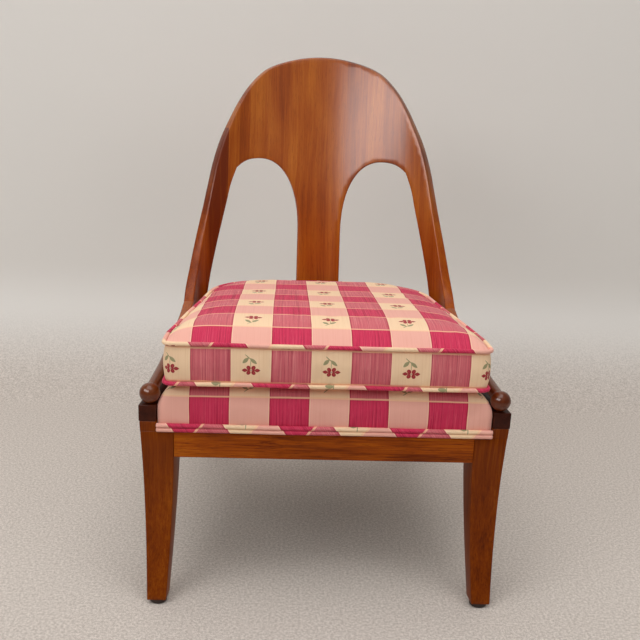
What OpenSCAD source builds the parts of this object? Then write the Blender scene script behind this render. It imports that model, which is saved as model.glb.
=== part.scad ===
// Low wooden lounge chair with a moulded barrel back on a centre splat, arms that sweep down from
// the back into ball ends, sabre legs, an upholstered deck and a loose box cushion.
// Built from the front plane of the leg tops (y = 0) and the floor (z = 0), then centred front to back.

/* [Seat frame] */
// Width across the front legs at the side rails
frame_w = 610; // [540:5:680]
// Height of the top of the side rails
seat_rail_h = 340; // [310:5:370]
// Width of the side rails
side_rail_t = 28; // [24:1:34]
// Depth of the side rails between the legs
side_rail_h = 72; // [60:1:84]
// Height of the rail tongue that lies on each leg
tongue_h = 28; // [22:1:32]
// How far the deck's seat lies below the top of the side rails
deck_drop = 45; // [36:1:54]
// Height of the front and rear rails
cross_rail_h = 46; // [38:1:56]
// Thickness of the front and rear rails
cross_rail_t = 26; // [20:1:30]
// How far the front rail sits behind the face of the legs
rail_recess = 0.8; // [0:0.1:3]
// Angle in plan at which the side rails close towards the back
rail_splay = 6; // [4:0.5:7]

/* [Legs] */
// Width of each leg at the rails
leg_w = 56; // [50:1:60]
// Depth of each leg at the rails
leg_d = 55; // [46:1:60]
// Width of each foot
foot_w = 31; // [26:1:36]
// Depth of each foot
foot_d = 30; // [26:1:36]
// How far the outer side of a front leg leans in by the floor
leg_lean = 20; // [10:1:26]
// How far the front feet sweep forward
front_sweep = 47; // [20:1:60]
// How far the rear legs' blocks stop short of the crown of the back
rear_block_in = 16; // [10:1:24]
// How far the rear feet sweep back
rear_sweep = 168; // [120:1:190]
// Diameter of the glides
glide_d = 29; // [24:1:31]
// Height of the glides
glide_h = 8; // [5:1:12]

/* [Back] */
// Height of the crest above the side rails
back_h = 539; // [480:1:580]
// How far the stiles sit in from the outer face of the side rails
stile_in = 2.7; // [1:0.1:5]
// Depth of the back's curve, from its sides to its crown
back_depth = 164; // [150:1:176]
// Radius of the two corners of the curve
back_corner_r = 101; // [90:1:110]
// Distance from the front to the line where the curve begins
back_line_y = 345; // [335:1:355]
// How far the back leans for each unit of height
back_lean = 0.25; // [0.2:0.01:0.28]
// Thickness of the crest and splat
crest_t = 13; // [10:0.5:15]
// Thickness of the stiles
stile_t = 19; // [15:0.5:21]
// Width of the splat, measured round the curve
splat_w = 92; // [70:1:110]
// Half the width of each arched gap, measured round the curve
arch_half_w = 94; // [80:1:100]
// Height of the gap's crown above the side rails
arch_crown_h = 335; // [310:1:350]
// Height of the rounded part of the gap
arch_rise = 155; // [120:1:170]

/* [Arms] */
// Distance of the ball's centre in from the outer face of the side rail
ball_in = 17.5; // [15:0.5:20]
// Distance of the ball's centre behind the front
ball_y = 12; // [8:1:20]
// Diameter of the ball at the end of each arm
ball_d = 34; // [28:1:38]
// Thickness of the arm behind the ball
arm_d = 21; // [17:0.5:24]

/* [Deck] */
// Height of the deck frame's bars
deck_bar_h = 28; // [22:1:34]
// Width of the deck frame's bars
deck_bar_w = 45; // [38:1:52]
// Height of the deck at the front edge, above its seat on the rails
deck_h = 81.7; // [70:0.1:90]
// Distance from the front to the deck's front face
deck_front_y = 1.6; // [1:0.1:3]
// Room between the deck's back and the foot of the splat
deck_back_room = 7.75; // [5:0.25:12]
// Height of the deck's rounded padded edge
deck_edge_r = 44; // [36:1:50]
// How far the rounded edge rolls in at each side
deck_edge_in = 52; // [50:1:60]
// Slope of the seat, downwards to the back
seat_slope = 2.1; // [0:0.1:3]
// Width of the webbing straps
strap_w = 50; // [40:1:55]
// Thickness of the webbing
strap_t = 1.6; // [1:0.1:2]
// Diameter of each cord of the double welt
welt_d = 7.6; // [6:0.2:8]

/* [Cushion] */
// How far the cushion's piping sits in from the outer face of the side rails
cushion_in = 42; // [36:1:55]
// Room between the back of the cushion and the line of the splat's face at the rails
cushion_back_room = 1; // [0:0.5:20]
// How far the cushion stands in front of the leg face
cushion_proud = 9; // [0:1:14]
// How much faster than the side rails the cushion's sides close towards the back
cushion_more_splay = 2.5; // [1:0.5:4]
// Height of the cushion between its two lines of piping
boxing_h = 66; // [50:1:80]
// Rise of the cushion's crowned top
cushion_crown = 20; // [8:1:26]
// Radius of the cushion's front corners
cushion_front_r = 30; // [20:1:45]
// How much rounder the cushion's rear corners are than the inside of the back
cushion_corner_ease = 20; // [12:1:30]
// Diameter of the piping
piping_d = 7; // [5:0.2:8]
// Thickness of the upholstery cloth
cloth_t = 1.2; // [0.8:0.1:1.5]

/* [Hardware] */
// Diameter of the frame dowels
dowel_d = 10; // [8:0.5:12]
// Length of the frame dowels
dowel_l = 44; // [36:1:50]
// Diameter of the arm dowels
arm_dowel_d = 8; // [6:0.5:9]
// Length of the arm dowels
arm_dowel_l = 40; // [30:1:44]
// Diameter of the wood screws' shanks
screw_d = 4; // [3.5:0.1:5]
// Diameter of the wood screws' heads
screw_head_d = 8; // [7:0.5:9]
// Length of the splat screws
splat_screw_l = 30; // [26:1:34]
// Length of the corner block screws
block_screw_l = 36; // [30:1:38]
// Height of the corner blocks
block_h = 34; // [26:1:38]

/* [Hidden] */

// Shared clearances and the overrun of cuts
fit_gap = 0.1;
soft_gap = 0.3;
over = 5;
$fn = 64;

// Heights of the frame
deck_seat_h = seat_rail_h - deck_drop;
rail_low_h = deck_seat_h - cross_rail_h;
tongue_low_h = seat_rail_h - tongue_h;

// Legs
leg_steps = 12;
lean_power = 1.15;
taper_power = 1.3;
sweep_power = 1.7;
leg_pin_d = 3;
leg_pin_l = 14;
crown_y = back_line_y + back_depth;
rear_block_y = crown_y - rear_block_in;
rear_foot_y = rear_block_y + rear_sweep;

// Back: a three-centre oval, a broad arc between two tighter ones
back_half_w = frame_w / 2 - back_line_y * tan(rail_splay) - stile_in;
corner_x = back_half_w - back_corner_r;
crown_r = (pow(corner_x, 2) + pow(back_depth, 2) - pow(back_corner_r, 2))
    / (2 * (back_depth - back_corner_r));
turn = atan2(crown_r - back_depth, corner_x);
crown_run = crown_r * (90 - turn) * PI / 180;
corner_run = back_corner_r * turn * PI / 180;
stile_lap = 15;
half_girth = crown_run + corner_run + stile_lap;
splat_foot_drop = 84;
splat_edge_q = splat_w / 2;
arch_q = splat_edge_q + arch_half_w;
arch_power = 2.3;
arch_end_share = 0.5313;
// Top edge, from just past the crest round to the arm: share of the half girth, of the back's height
top_edge_shares = [[-0.17, 0.988], [0, 1], [0.17, 0.988], [0.338, 0.952], [0.44, 0.897], [0.52, 0.829],
    [0.585, 0.757], [0.637, 0.693], [0.684, 0.612], [0.722, 0.52], [0.752, 0.45], [0.798, 0.36],
    [0.858, 0.26], [0.905, 0.208], [0.957, 0.17], [1, 0.148]];
// Rear edge of the stile, from the arched gap down to the side rail
rear_edge_shares = [[0.5313, 0.598], [0.552, 0.57], [0.582, 0.525], [0.606, 0.469], [0.665, 0.341],
    [0.707, 0.241], [0.744, 0.141], [0.778, 0.06], [0.808, 0]];
// Arm from the stile to the ball, as shares of its run: place, top, underside, outer face
arm_shares = [[0, 0.148, 0, 0], [0.03, 0.1415, 0.0115, 0.03], [0.07, 0.132, 0.0235, 0.07],
    [0.13, 0.1225, 0.0355, 0.13], [0.2, 0.1135, 0.043, 0.21], [0.3, 0.103, 0.0455, 0.32],
    [0.42, 0.092, 0.0435, 0.43], [0.56, 0.08, 0.0365, 0.55], [0.7, 0.069, 0.0275, 0.68],
    [0.84, 0.0605, 0.0205, 0.83], [0.95, 0.0555, 0.0165, 0.95], [1, 0.054, 0.015, 1]];
arm_sides = 20;
ball_x = frame_w / 2 - ball_in;
ball_z = seat_rail_h + fit_gap + ball_d / 2;
arm_start_y = back_line_y - stile_lap;

// Deck and cushion
deck_back_y = crown_y - crest_t - back_lean * deck_drop - deck_back_room;
cushion_half_w = frame_w / 2 - cushion_in;
cushion_d = crown_y - crest_t + cushion_proud - cushion_back_room;
cushion_splay = rail_splay + cushion_more_splay;
cushion_back_r = back_corner_r + stile_t + cushion_corner_ease;
turn_steps = 6;
edge_steps = 5;
hessian_t = 0.9;
web_h = deck_seat_h + deck_bar_h;
pad_low_h = web_h + 2 * strap_t + hessian_t + fit_gap;
across_count = 4;
along_count = 5;
dust_t = 0.8;
dust_lap = 4;
tube_sides = 8;

wood = [0.50, 0.24, 0.09];
dark_wood = [0.27, 0.12, 0.06];
pale_wood = [0.72, 0.55, 0.35];
steel = [0.62, 0.62, 0.64];
rose = [0.77, 0.38, 0.42];
cream = [0.93, 0.86, 0.70];
magenta = [0.70, 0.10, 0.30];
black_cloth = [0.12, 0.12, 0.12];
hessian = [0.66, 0.55, 0.38];
foam = [0.93, 0.90, 0.78];

// A smooth curve through a table of [place, height] pairs
function slope_at(t, i) =
    let (a = max(i - 1, 0), b = min(i + 1, len(t) - 1)) (t[b][1] - t[a][1]) / (t[b][0] - t[a][0]);
function segment(t, x, i = 0) = i >= len(t) - 2 || x <= t[i + 1][0] ? i : segment(t, x, i + 1);
function curve(t, x) =
    let (i = segment(t, x), w = t[i + 1][0] - t[i][0], u = (x - t[i][0]) / w,
        a = t[i][1], b = t[i + 1][1], da = slope_at(t, i) * w, db = slope_at(t, i + 1) * w)
    a * (1 + 2 * u) * pow(1 - u, 2) + b * u * u * (3 - 2 * u)
    + da * u * pow(1 - u, 2) - db * u * u * (1 - u);
function ramp(x, low, high) =
    let (u = min(max((x - low) / (high - low), 0), 1)) u * u * (3 - 2 * u);

// Inner faces of a side rail and of a leg, at a distance from the front
function rail_inner_x(y) = frame_w / 2 - side_rail_t / cos(rail_splay) - y * tan(rail_splay);
function leg_inner_x(y) = frame_w / 2 - leg_w / cos(rail_splay) - y * tan(rail_splay);

// The right-hand side rail's own frame: y runs along the rail, x = 0 is its outer face
module rail_frame() translate([frame_w / 2, 0, 0]) rotate([0, 0, rail_splay]) children();
module both_sides() {
    children();
    mirror([1, 0, 0]) children();
}
// A profile drawn across and up, pushed backwards
module push_back(y, depth) translate([0, y + depth, 0]) rotate([90, 0, 0]) linear_extrude(depth) children();
// A profile drawn back and up, pushed across
module push_across(x, width) translate([x, 0, 0]) rotate([90, 0, 90]) linear_extrude(width) children();
// Everything is drawn from the front plane and then centred between the front and rear feet
depth_back = rear_foot_y * cos(rail_splay) + leg_outer(glide_h) * sin(rail_splay);
centre_y = (depth_back - front_sweep) / 2;
module seated() translate([0, -centre_y, 0]) children();

// Points of the back: q runs round the curve from its middle, off is the distance out of its outer face
function back_plan(q) =
    q <= crown_run
        ? let (a = 90 - q / crown_r * 180 / PI)
            [crown_r * cos(a), crown_y - crown_r + crown_r * sin(a), cos(a), sin(a)]
    : q <= crown_run + corner_run
        ? let (a = turn - (q - crown_run) / back_corner_r * 180 / PI)
            [corner_x + back_corner_r * cos(a), back_line_y + back_corner_r * sin(a), cos(a), sin(a)]
    : [back_half_w, back_line_y - (q - crown_run - corner_run), 1, 0];
function back_point(q, z, off) =
    let (p = back_plan(abs(q)), side = q < 0 ? -1 : 1)
    [side * (p[0] + off * p[2]), p[1] + off * p[3] + back_lean * (z - seat_rail_h), z];
thicken_share = 0.6;
function back_thickness(q) =
    crest_t + (stile_t - crest_t) * ramp(abs(q), crown_run * thicken_share, crown_run);
function top_edge(q) = seat_rail_h + back_h * curve(top_edge_shares, q / half_girth);
function arch_edge(q) =
    seat_rail_h + arch_crown_h - arch_rise
    + arch_rise * pow(1 - pow(min(abs(q - arch_q) / arch_half_w, 1), arch_power), 1 / arch_power);
function low_edge(q) =
    q <= half_girth * arch_end_share ? arch_edge(q)
    : q <= foot_q ? seat_rail_h + back_h * curve(rear_edge_shares, q / half_girth)
    : seat_rail_h;

// Places round the right half where the back's straight lines are drawn
splat_steps = 4;
arch_steps = 9;
stile_steps = 22;
foot_steps = 10;
arch_end_q = half_girth * arch_end_share;
foot_q = half_girth * rear_edge_shares[len(rear_edge_shares) - 1][0];
splat_foot_h = seat_rail_h - splat_foot_drop;
half_columns = concat(
    [for (i = [0 : splat_steps]) [splat_edge_q * i / splat_steps, splat_foot_h]],
    [for (i = [0 : arch_steps]) let (q = splat_edge_q + arch_half_w * (1 - cos(90 * i / arch_steps)))
        [q, arch_edge(q)]],
    [for (i = [1 : splat_steps]) let (q = arch_q + (arch_end_q - arch_q) * i / splat_steps)
        [q, arch_edge(q)]],
    [for (i = [1 : stile_steps]) let (q = arch_end_q + (foot_q - arch_end_q) * i / stile_steps)
        [q, low_edge(q)]],
    [for (i = [1 : foot_steps]) [foot_q + (half_girth - foot_q) * i / foot_steps, seat_rail_h]]);
half_count = len(half_columns);
back_columns = concat(
    [for (i = [half_count - 1 : -1 : 1]) [-half_columns[i][0], half_columns[i][1]]], half_columns);

module back_blank() {
    n = len(back_columns);
    left_edge = half_count - 1 - splat_steps;
    right_edge = half_count - 1 + splat_steps;
    // The splat's side is a step between two columns that share one top
    function is_step(i) = i == left_edge - 1 || i == right_edge;
    function top_of(i) = i == left_edge - 1 ? left_edge : i == right_edge + 1 ? right_edge : i;
    outer_low = [for (c = back_columns) back_point(c[0], c[1], 0)];
    inner_low = [for (c = back_columns) back_point(c[0], c[1], -back_thickness(c[0]))];
    outer_top = [for (c = back_columns) back_point(c[0], top_edge(abs(c[0])), 0)];
    inner_top = [for (c = back_columns) back_point(c[0], top_edge(abs(c[0])), -back_thickness(c[0]))];
    function side_of(i, base) =
        i == left_edge ? [base + i, base + i - 1] : i == right_edge ? [base + i, base + i + 1] : [base + i];
    function flipped(f) = [for (i = [len(f) - 1 : -1 : 0]) f[i]];
    function sheet(i, low, top, right) =
        let (a = i == left_edge ? [low + i - 1, low + i] : [low + i],
            b = i + 1 == right_edge ? [low + i + 1, low + i + 2] : [low + i + 1])
        concat(a, b, [top + top_of(i + 1), top + top_of(i)]);
    polyhedron(
        points = concat(outer_low, inner_low, outer_top, inner_top),
        faces = concat(
            [for (i = [0 : n - 2]) if (!is_step(i)) sheet(i, 0, 2 * n)],
            [for (i = [0 : n - 2]) if (!is_step(i)) flipped(sheet(i, n, 3 * n))],
            [for (i = [0 : n - 2]) [i, n + i, n + i + 1, i + 1]],
            [for (i = [0 : n - 2]) if (!is_step(i))
                [2 * n + top_of(i), 2 * n + top_of(i + 1), 3 * n + top_of(i + 1), 3 * n + top_of(i)]],
            [[0, 2 * n, 3 * n, n], [n - 1, 2 * n - 1, 4 * n - 1, 3 * n - 1]]),
        convexity = 6);
}

module back_shell() {
    color(wood) seated() difference() {
        back_blank();
        splat_screw_set(fit_gap);
        splat_plug_set(fit_gap);
        both_sides() stile_dowel_set(fit_gap);
        both_sides() arm_dowel_set(fit_gap);
    }
}

// Screws that hold the splat to the rear rail, square to the leaning back, and the plugs over them
splat_screw_shares = [-0.28, 0.28];
screw_head_t = 3;
plug_d = screw_head_d + 2;
plug_t = 4;
splat_screw_z = deck_seat_h - cross_rail_h / 2;
lean_angle = atan(back_lean);
module splat_axis(share) {
    p = back_point(share * splat_w, splat_screw_z, 0);
    translate(p) rotate([90 - lean_angle, 0, 0]) children();
}
module splat_screw_set(gap) {
    for (share = splat_screw_shares) splat_axis(share) translate([0, 0, plug_t - gap]) {
        cylinder(d = screw_head_d + 2 * gap, h = screw_head_t + gap);
        cylinder(d = screw_d + 2 * gap, h = splat_screw_l + 2 * gap);
    }
}
module splat_plug_set(gap) {
    for (share = splat_screw_shares) splat_axis(share) translate([0, 0, gap > 0 ? -over : 0])
        cylinder(d = plug_d + 2 * gap, h = plug_t - fit_gap + gap + (gap > 0 ? over : 0));
}
module splat_screws() color(steel) seated() splat_screw_set(0);
module splat_plugs() color(dark_wood) seated() splat_plug_set(0);

// Dowels from the foot of the stile into the side rail, and from the stile into the arm
stile_dowel_shares = [0.86, 0.95];
arm_dowel_shares = [0.42, 0.75];
module stile_dowel_set(gap) {
    for (share = stile_dowel_shares) {
        p = back_point(share * half_girth, seat_rail_h, -stile_t / 2);
        translate([p[0], p[1], seat_rail_h - arm_dowel_l / 2 - gap])
            cylinder(d = arm_dowel_d + 2 * gap, h = arm_dowel_l + 2 * gap);
    }
}
arm_joint_h = back_h * arm_shares[0][1];
module arm_dowel_set(gap) {
    for (share = arm_dowel_shares) {
        p = back_point(half_girth, seat_rail_h + share * arm_joint_h, -stile_t / 2);
        translate([p[0], p[1] - arm_dowel_l / 2 - gap, p[2]]) rotate([-90, 0, 0])
            cylinder(d = arm_dowel_d + 2 * gap, h = arm_dowel_l + 2 * gap);
    }
}
module stile_dowels() color(pale_wood) seated() both_sides() stile_dowel_set(0);
module arm_dowels() color(pale_wood) seated() both_sides() arm_dowel_set(0);

// Arm: sections that pass from the stile's flat end to a round rod, then the ball
arm_run = arm_start_y - ball_y;
arm_out = ball_x + arm_d / 2 - back_half_w;
round_end_share = 0.6;
thick_end_share = 0.5;
upright_end_share = 0.25;
square_power = 12;
round_power = 2;
function arm_section(s) =
    let (u = s[0], power = square_power + (round_power - square_power) * ramp(u, 0, round_end_share),
        high = seat_rail_h + back_h * s[1], low = seat_rail_h + back_h * s[2],
        thick = stile_t + (arm_d - stile_t) * ramp(u, 0, thick_end_share),
        mid_x = back_half_w + arm_out * s[3] - thick / 2, mid_z = (high + low) / 2,
        y = arm_start_y - arm_run * u, lean = back_lean * (1 - ramp(u, 0, upright_end_share)))
    [for (k = [0 : arm_sides - 1])
        let (a = -360 * (k + 0.5) / arm_sides, c = cos(a), d = sin(a),
            r = pow(pow(abs(c), power) + pow(abs(d), power), -1 / power),
            z = mid_z + r * d * (high - low) / 2)
        [mid_x + r * c * thick / 2, y + lean * (z - seat_rail_h), z]];
function side_faces(rings, n) =
    [for (i = [0 : rings - 2]) for (k = [0 : n - 1])
        let (m = (k + 1) % n) [i * n + k, i * n + m, (i + 1) * n + m, (i + 1) * n + k]];
module arm_blank() {
    n = arm_sides;
    rings = len(arm_shares);
    polyhedron(
        points = [for (s = arm_shares) each arm_section(s)],
        faces = concat(
            [[for (k = [n - 1 : -1 : 0]) k]],
            side_faces(rings, n),
            [[for (k = [0 : n - 1]) (rings - 1) * n + k]]),
        convexity = 4);
}
module arm_right() {
    difference() {
        union() {
            arm_blank();
            translate([ball_x, ball_y, ball_z]) sphere(d = ball_d);
        }
        arm_dowel_set(fit_gap);
        ball_dowel(fit_gap);
    }
}
ball_dowel_d = 6;
ball_dowel_l = 24;
module ball_dowel(gap) {
    translate([ball_x, ball_y, seat_rail_h - ball_dowel_l / 2 - gap])
        cylinder(d = ball_dowel_d + 2 * gap, h = ball_dowel_l + 2 * gap);
}
module ball_dowels() color(pale_wood) seated() both_sides() ball_dowel(0);
module right_arm() color(wood) seated() arm_right();
module left_arm() color(wood) seated() mirror([1, 0, 0]) arm_right();

// Legs: a front outline and a side outline, each pushed through the other
function leg_outer(z) = -leg_lean * pow(1 - z / seat_rail_h, lean_power);
function leg_inner(z) =
    let (foot = -leg_lean - foot_w, share = max(1 - z / rail_low_h, 0))
    -leg_w + (foot + leg_w) * pow(share, taper_power);
function leg_depth(z) = foot_d + (leg_d - foot_d) * pow(min(z / rail_low_h, 1), taper_power);
function leg_sweep(z, reach) =
    reach * pow(max((rail_low_h - z) / (rail_low_h - glide_h), 0), sweep_power);
leg_heights = [for (i = [0 : leg_steps]) glide_h + (rail_low_h - glide_h) * i / leg_steps];
module leg_front_outline() {
    polygon(concat(
        [for (z = leg_heights) [leg_outer(z), z]],
        [[leg_outer(tongue_low_h), tongue_low_h], [-side_rail_t, tongue_low_h],
            [-side_rail_t, deck_seat_h], [-leg_w, deck_seat_h]],
        [for (i = [leg_steps : -1 : 0]) [leg_inner(leg_heights[i]), leg_heights[i]]]));
}
module front_leg() {
    difference() {
        intersection() {
            rail_frame() push_back(-front_sweep - leg_d, front_sweep + 3 * leg_d) leg_front_outline();
            push_across(0, frame_w) polygon(concat(
                [for (z = leg_heights) [-leg_sweep(z, front_sweep), z]],
                [[0, seat_rail_h], [leg_d, seat_rail_h]],
                [for (i = [leg_steps : -1 : 0])
                    [leg_depth(leg_heights[i]) - leg_sweep(leg_heights[i], front_sweep), leg_heights[i]]]));
        }
        front_dowel_set(fit_gap);
        tongue_dowel_set(fit_gap);
        front_glide_pin(fit_gap);
    }
}
module rear_leg() {
    difference() {
        rail_frame() intersection() {
            push_back(0, rear_foot_y + over) leg_front_outline();
            push_across(-leg_w - over, leg_w + 2 * over) polygon(concat(
                [for (z = leg_heights) [rear_block_y + leg_sweep(z, rear_sweep), z]],
                [[rear_block_y, seat_rail_h], [rear_block_y - leg_d, seat_rail_h]],
                [for (i = [leg_steps : -1 : 0])
                    [rear_block_y - leg_depth(leg_heights[i]) + leg_sweep(leg_heights[i], rear_sweep),
                        leg_heights[i]]]));
        }
        rear_dowel_set(fit_gap);
        tongue_dowel_set(fit_gap);
        rear_glide_pin(fit_gap);
    }
}
module front_leg_right() color(wood) seated() front_leg();
module front_leg_left() color(wood) seated() mirror([1, 0, 0]) front_leg();
module rear_leg_right() color(wood) seated() rear_leg();
module rear_leg_left() color(wood) seated() mirror([1, 0, 0]) rear_leg();

// Glides under the feet, each on its own pin
foot_x = -leg_lean - foot_w / 2;
module front_foot() rail_frame()
    translate([foot_x, (foot_d / 2 - front_sweep) / cos(rail_splay) - foot_x * tan(rail_splay), 0])
        children();
module rear_foot() rail_frame() translate([foot_x, rear_foot_y - foot_d / 2, 0]) children();
module glide() {
    edge = glide_h / 4;
    cylinder(d1 = glide_d - 2 * edge, d2 = glide_d, h = edge);
    translate([0, 0, edge]) cylinder(d = glide_d, h = glide_h - edge);
}
module glide_pin(gap) translate([0, 0, glide_h / 2 - gap])
    cylinder(d = leg_pin_d + 2 * gap, h = leg_pin_l + 2 * gap);
module front_glide_pin(gap) front_foot() glide_pin(gap);
module rear_glide_pin(gap) rear_foot() glide_pin(gap);
module glides() {
    color(dark_wood) seated() both_sides() {
        front_foot() difference() {
            glide();
            glide_pin(fit_gap);
        }
        rear_foot() difference() {
            glide();
            glide_pin(fit_gap);
        }
    }
}
module glide_pins() {
    color(steel) seated() both_sides() {
        front_glide_pin(0);
        rear_glide_pin(0);
    }
}

// Front rail between the front legs, and its dowels
dowel_row_shares = [0.28, 0.72];
module front_rail() {
    back = rail_recess + cross_rail_t;
    color(wood) seated() difference() {
        translate([0, 0, rail_low_h]) linear_extrude(cross_rail_h) polygon([
            [-leg_inner_x(rail_recess), rail_recess], [leg_inner_x(rail_recess), rail_recess],
            [leg_inner_x(back), back], [-leg_inner_x(back), back]]);
        both_sides() front_dowel_set(fit_gap);
        both_sides() front_block_screw(fit_gap);
    }
}
module front_dowel_set(gap) {
    for (share = dowel_row_shares)
        cross_dowel(rail_recess + cross_rail_t / 2, rail_low_h + share * cross_rail_h, gap);
}

// Rear rail, leaning with the back, its middle padded out to the splat's curve
rear_pad_clear = 4;
rear_pad_half = splat_edge_q + rear_pad_clear;
pad_steps = 8;
splat_inner_r = crown_r - crest_t;
rear_face_y = crown_y - crest_t;
function splat_face_y(x) = rear_face_y - splat_inner_r + sqrt(pow(splat_inner_r, 2) - x * x);
rear_flat_y = splat_face_y(rear_pad_half);
cross_rail_run = cross_rail_t / cos(lean_angle);
function rear_rail_front_y(z) = rear_flat_y - cross_rail_run - back_lean * (seat_rail_h - z);
module lean_back() translate([0, 0, seat_rail_h]) rotate([-lean_angle, 0, 0]) children();
module rear_rail() {
    flat_y = rear_flat_y * cos(lean_angle);
    color(wood) seated() difference() {
        intersection() {
            lean_back() linear_extrude(2 * seat_rail_h, center = true) polygon(concat(
                [[-frame_w / 2, flat_y], [-frame_w / 2, flat_y - cross_rail_t],
                    [frame_w / 2, flat_y - cross_rail_t], [frame_w / 2, flat_y]],
                [for (i = [pad_steps : -1 : -pad_steps]) let (x = rear_pad_half * i / pad_steps)
                    [x, (splat_face_y(x) - fit_gap) * cos(lean_angle)]]));
            translate([-frame_w / 2, 0, rail_low_h]) cube([frame_w, depth_back, cross_rail_h]);
        }
        both_sides() rail_frame() translate([-leg_w, 0, 0]) cube([frame_w, depth_back, seat_rail_h]);
        both_sides() rear_dowel_set(fit_gap);
        both_sides() rear_block_screw(fit_gap);
        splat_screw_set(fit_gap);
    }
}
module rear_dowel_set(gap) {
    for (share = dowel_row_shares) {
        z = rail_low_h + share * cross_rail_h;
        y = rear_rail_front_y(z) + cross_rail_run / 2;
        cross_dowel(y, z, gap);
    }
}
module cross_dowel(y, z, gap) translate([leg_inner_x(y) - dowel_l / 2 - gap, y, z]) rotate([0, 90, 0])
    cylinder(d = dowel_d + 2 * gap, h = dowel_l + 2 * gap);
module rail_dowels() {
    color(pale_wood) seated() both_sides() {
        front_dowel_set(0);
        rear_dowel_set(0);
    }
}

// Side rails: deep between the legs, with a tongue over the top of each leg
module side_rail() {
    low = seat_rail_h - side_rail_h;
    difference() {
        rail_frame() push_across(-side_rail_t, side_rail_t) polygon([
            [-over, low], [-over, seat_rail_h], [rear_block_y, seat_rail_h], [rear_block_y, tongue_low_h],
            [rear_block_y - leg_d, tongue_low_h], [rear_block_y - leg_d, low]]);
        translate([0, -frame_w, 0]) cube([frame_w, frame_w, 2 * seat_rail_h]);
        translate([0, -over, 0]) cube([frame_w, leg_d + over, tongue_low_h]);
        tongue_dowel_set(fit_gap);
        stile_dowel_set(fit_gap);
        ball_dowel(fit_gap);
        side_block_screws(fit_gap);
    }
}
module side_rail_right() color(dark_wood) seated() side_rail();
module side_rail_left() color(dark_wood) seated() mirror([1, 0, 0]) side_rail();

// Dowels down through each tongue into the leg below
tongue_dowel_l = 44;
tongue_dowel_top_share = 0.7;
tongue_dowel_place_share = 0.62;
module tongue_dowel_set(gap) {
    top = tongue_low_h + tongue_h * tongue_dowel_top_share;
    rail_frame() for (y = [leg_d * tongue_dowel_place_share, rear_block_y - leg_d / 2])
        translate([-side_rail_t / 2, y, top - tongue_dowel_l - gap])
            cylinder(d = dowel_d + 2 * gap, h = tongue_dowel_l + 2 * gap);
}
module tongue_dowels() color(pale_wood) seated() both_sides() tongue_dowel_set(0);

// Corner blocks inside the frame, cut round each leg
block_reach = 62;
block_drop = 4;
block_low_h = deck_seat_h - block_drop - block_h;
block_screw_share = 0.6;
block_screw_z = block_low_h + block_h * block_screw_share;
block_head_share = 0.3;
block_head_in = block_reach * block_head_share;
block_front_y = rail_recess + cross_rail_t;
leg_corner_y = (rear_block_y - leg_d) * cos(rail_splay) - leg_w * sin(rail_splay);
deck_screw_l = 50;
deck_screw_in = 9;
module block_blank(near_y, far_y) translate([0, 0, block_low_h]) linear_extrude(block_h) polygon([
    [leg_inner_x(near_y) - block_reach, near_y], [rail_inner_x(near_y), near_y],
    [rail_inner_x(far_y), far_y]]);
module front_block() {
    difference() {
        block_blank(block_front_y, leg_d + block_reach);
        linear_extrude(seat_rail_h) polygon([[leg_inner_x(0), 0], [frame_w, 0], [frame_w, leg_d],
            [leg_inner_x(leg_d), leg_d]]);
        front_block_screw(fit_gap);
        side_block_screws(fit_gap);
        deck_screw_set(fit_gap);
    }
}
module rear_block() {
    difference() {
        block_blank(rear_rail_front_y(seat_rail_h), leg_corner_y - block_reach);
        rail_frame() translate([-leg_w, rear_block_y - leg_d, 0]) cube([frame_w, leg_d, seat_rail_h]);
        lean_back() translate([-frame_w / 2, rear_flat_y * cos(lean_angle) - cross_rail_t, -seat_rail_h])
            cube([frame_w, rear_block_y, 2 * seat_rail_h]);
        rear_block_screw(fit_gap);
        side_block_screws(fit_gap);
        deck_screw_set(fit_gap);
    }
}
module corner_blocks() {
    color(pale_wood) seated() both_sides() {
        front_block();
        rear_block();
    }
}
// A wood screw along z with its head at the foot; a hole also has a way in for the head
module wood_screw(length, gap) {
    way_in = gap > 0 ? block_reach : 0;
    cylinder(d = screw_d + 2 * gap, h = length + gap);
    translate([0, 0, -way_in]) cylinder(d = screw_head_d + 2 * gap, h = screw_head_t + gap + way_in);
}
module front_block_screw(gap)
    translate([leg_inner_x(block_front_y) - block_reach / 2, block_front_y + block_head_in, block_screw_z])
        rotate([90, 0, 0]) wood_screw(block_screw_l, gap);
module rear_block_screw(gap) {
    y = rear_rail_front_y(block_screw_z);
    translate([leg_inner_x(y) - block_reach / 2, y - block_head_in, block_screw_z])
        rotate([-90, 0, 0]) wood_screw(block_screw_l, gap);
}
module side_block_screws(gap) {
    rail_frame() for (y = [leg_d + block_reach / 2, rear_block_y - leg_d - block_reach / 2])
        translate([-side_rail_t - block_head_in, y, block_screw_z])
            rotate([0, 90, 0]) wood_screw(block_screw_l, gap);
}
module deck_screw_set(gap) {
    for (y = [leg_d + deck_screw_in, leg_corner_y - deck_screw_in])
        translate([leg_inner_x(y) - deck_screw_in, y, block_low_h + block_h / 4])
            wood_screw(deck_screw_l, gap);
}
module block_screws() {
    color(steel) seated() both_sides() {
        front_block_screw(0);
        rear_block_screw(0);
        side_block_screws(0);
    }
}
module deck_screws() color(steel) seated() both_sides() deck_screw_set(0);

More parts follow.
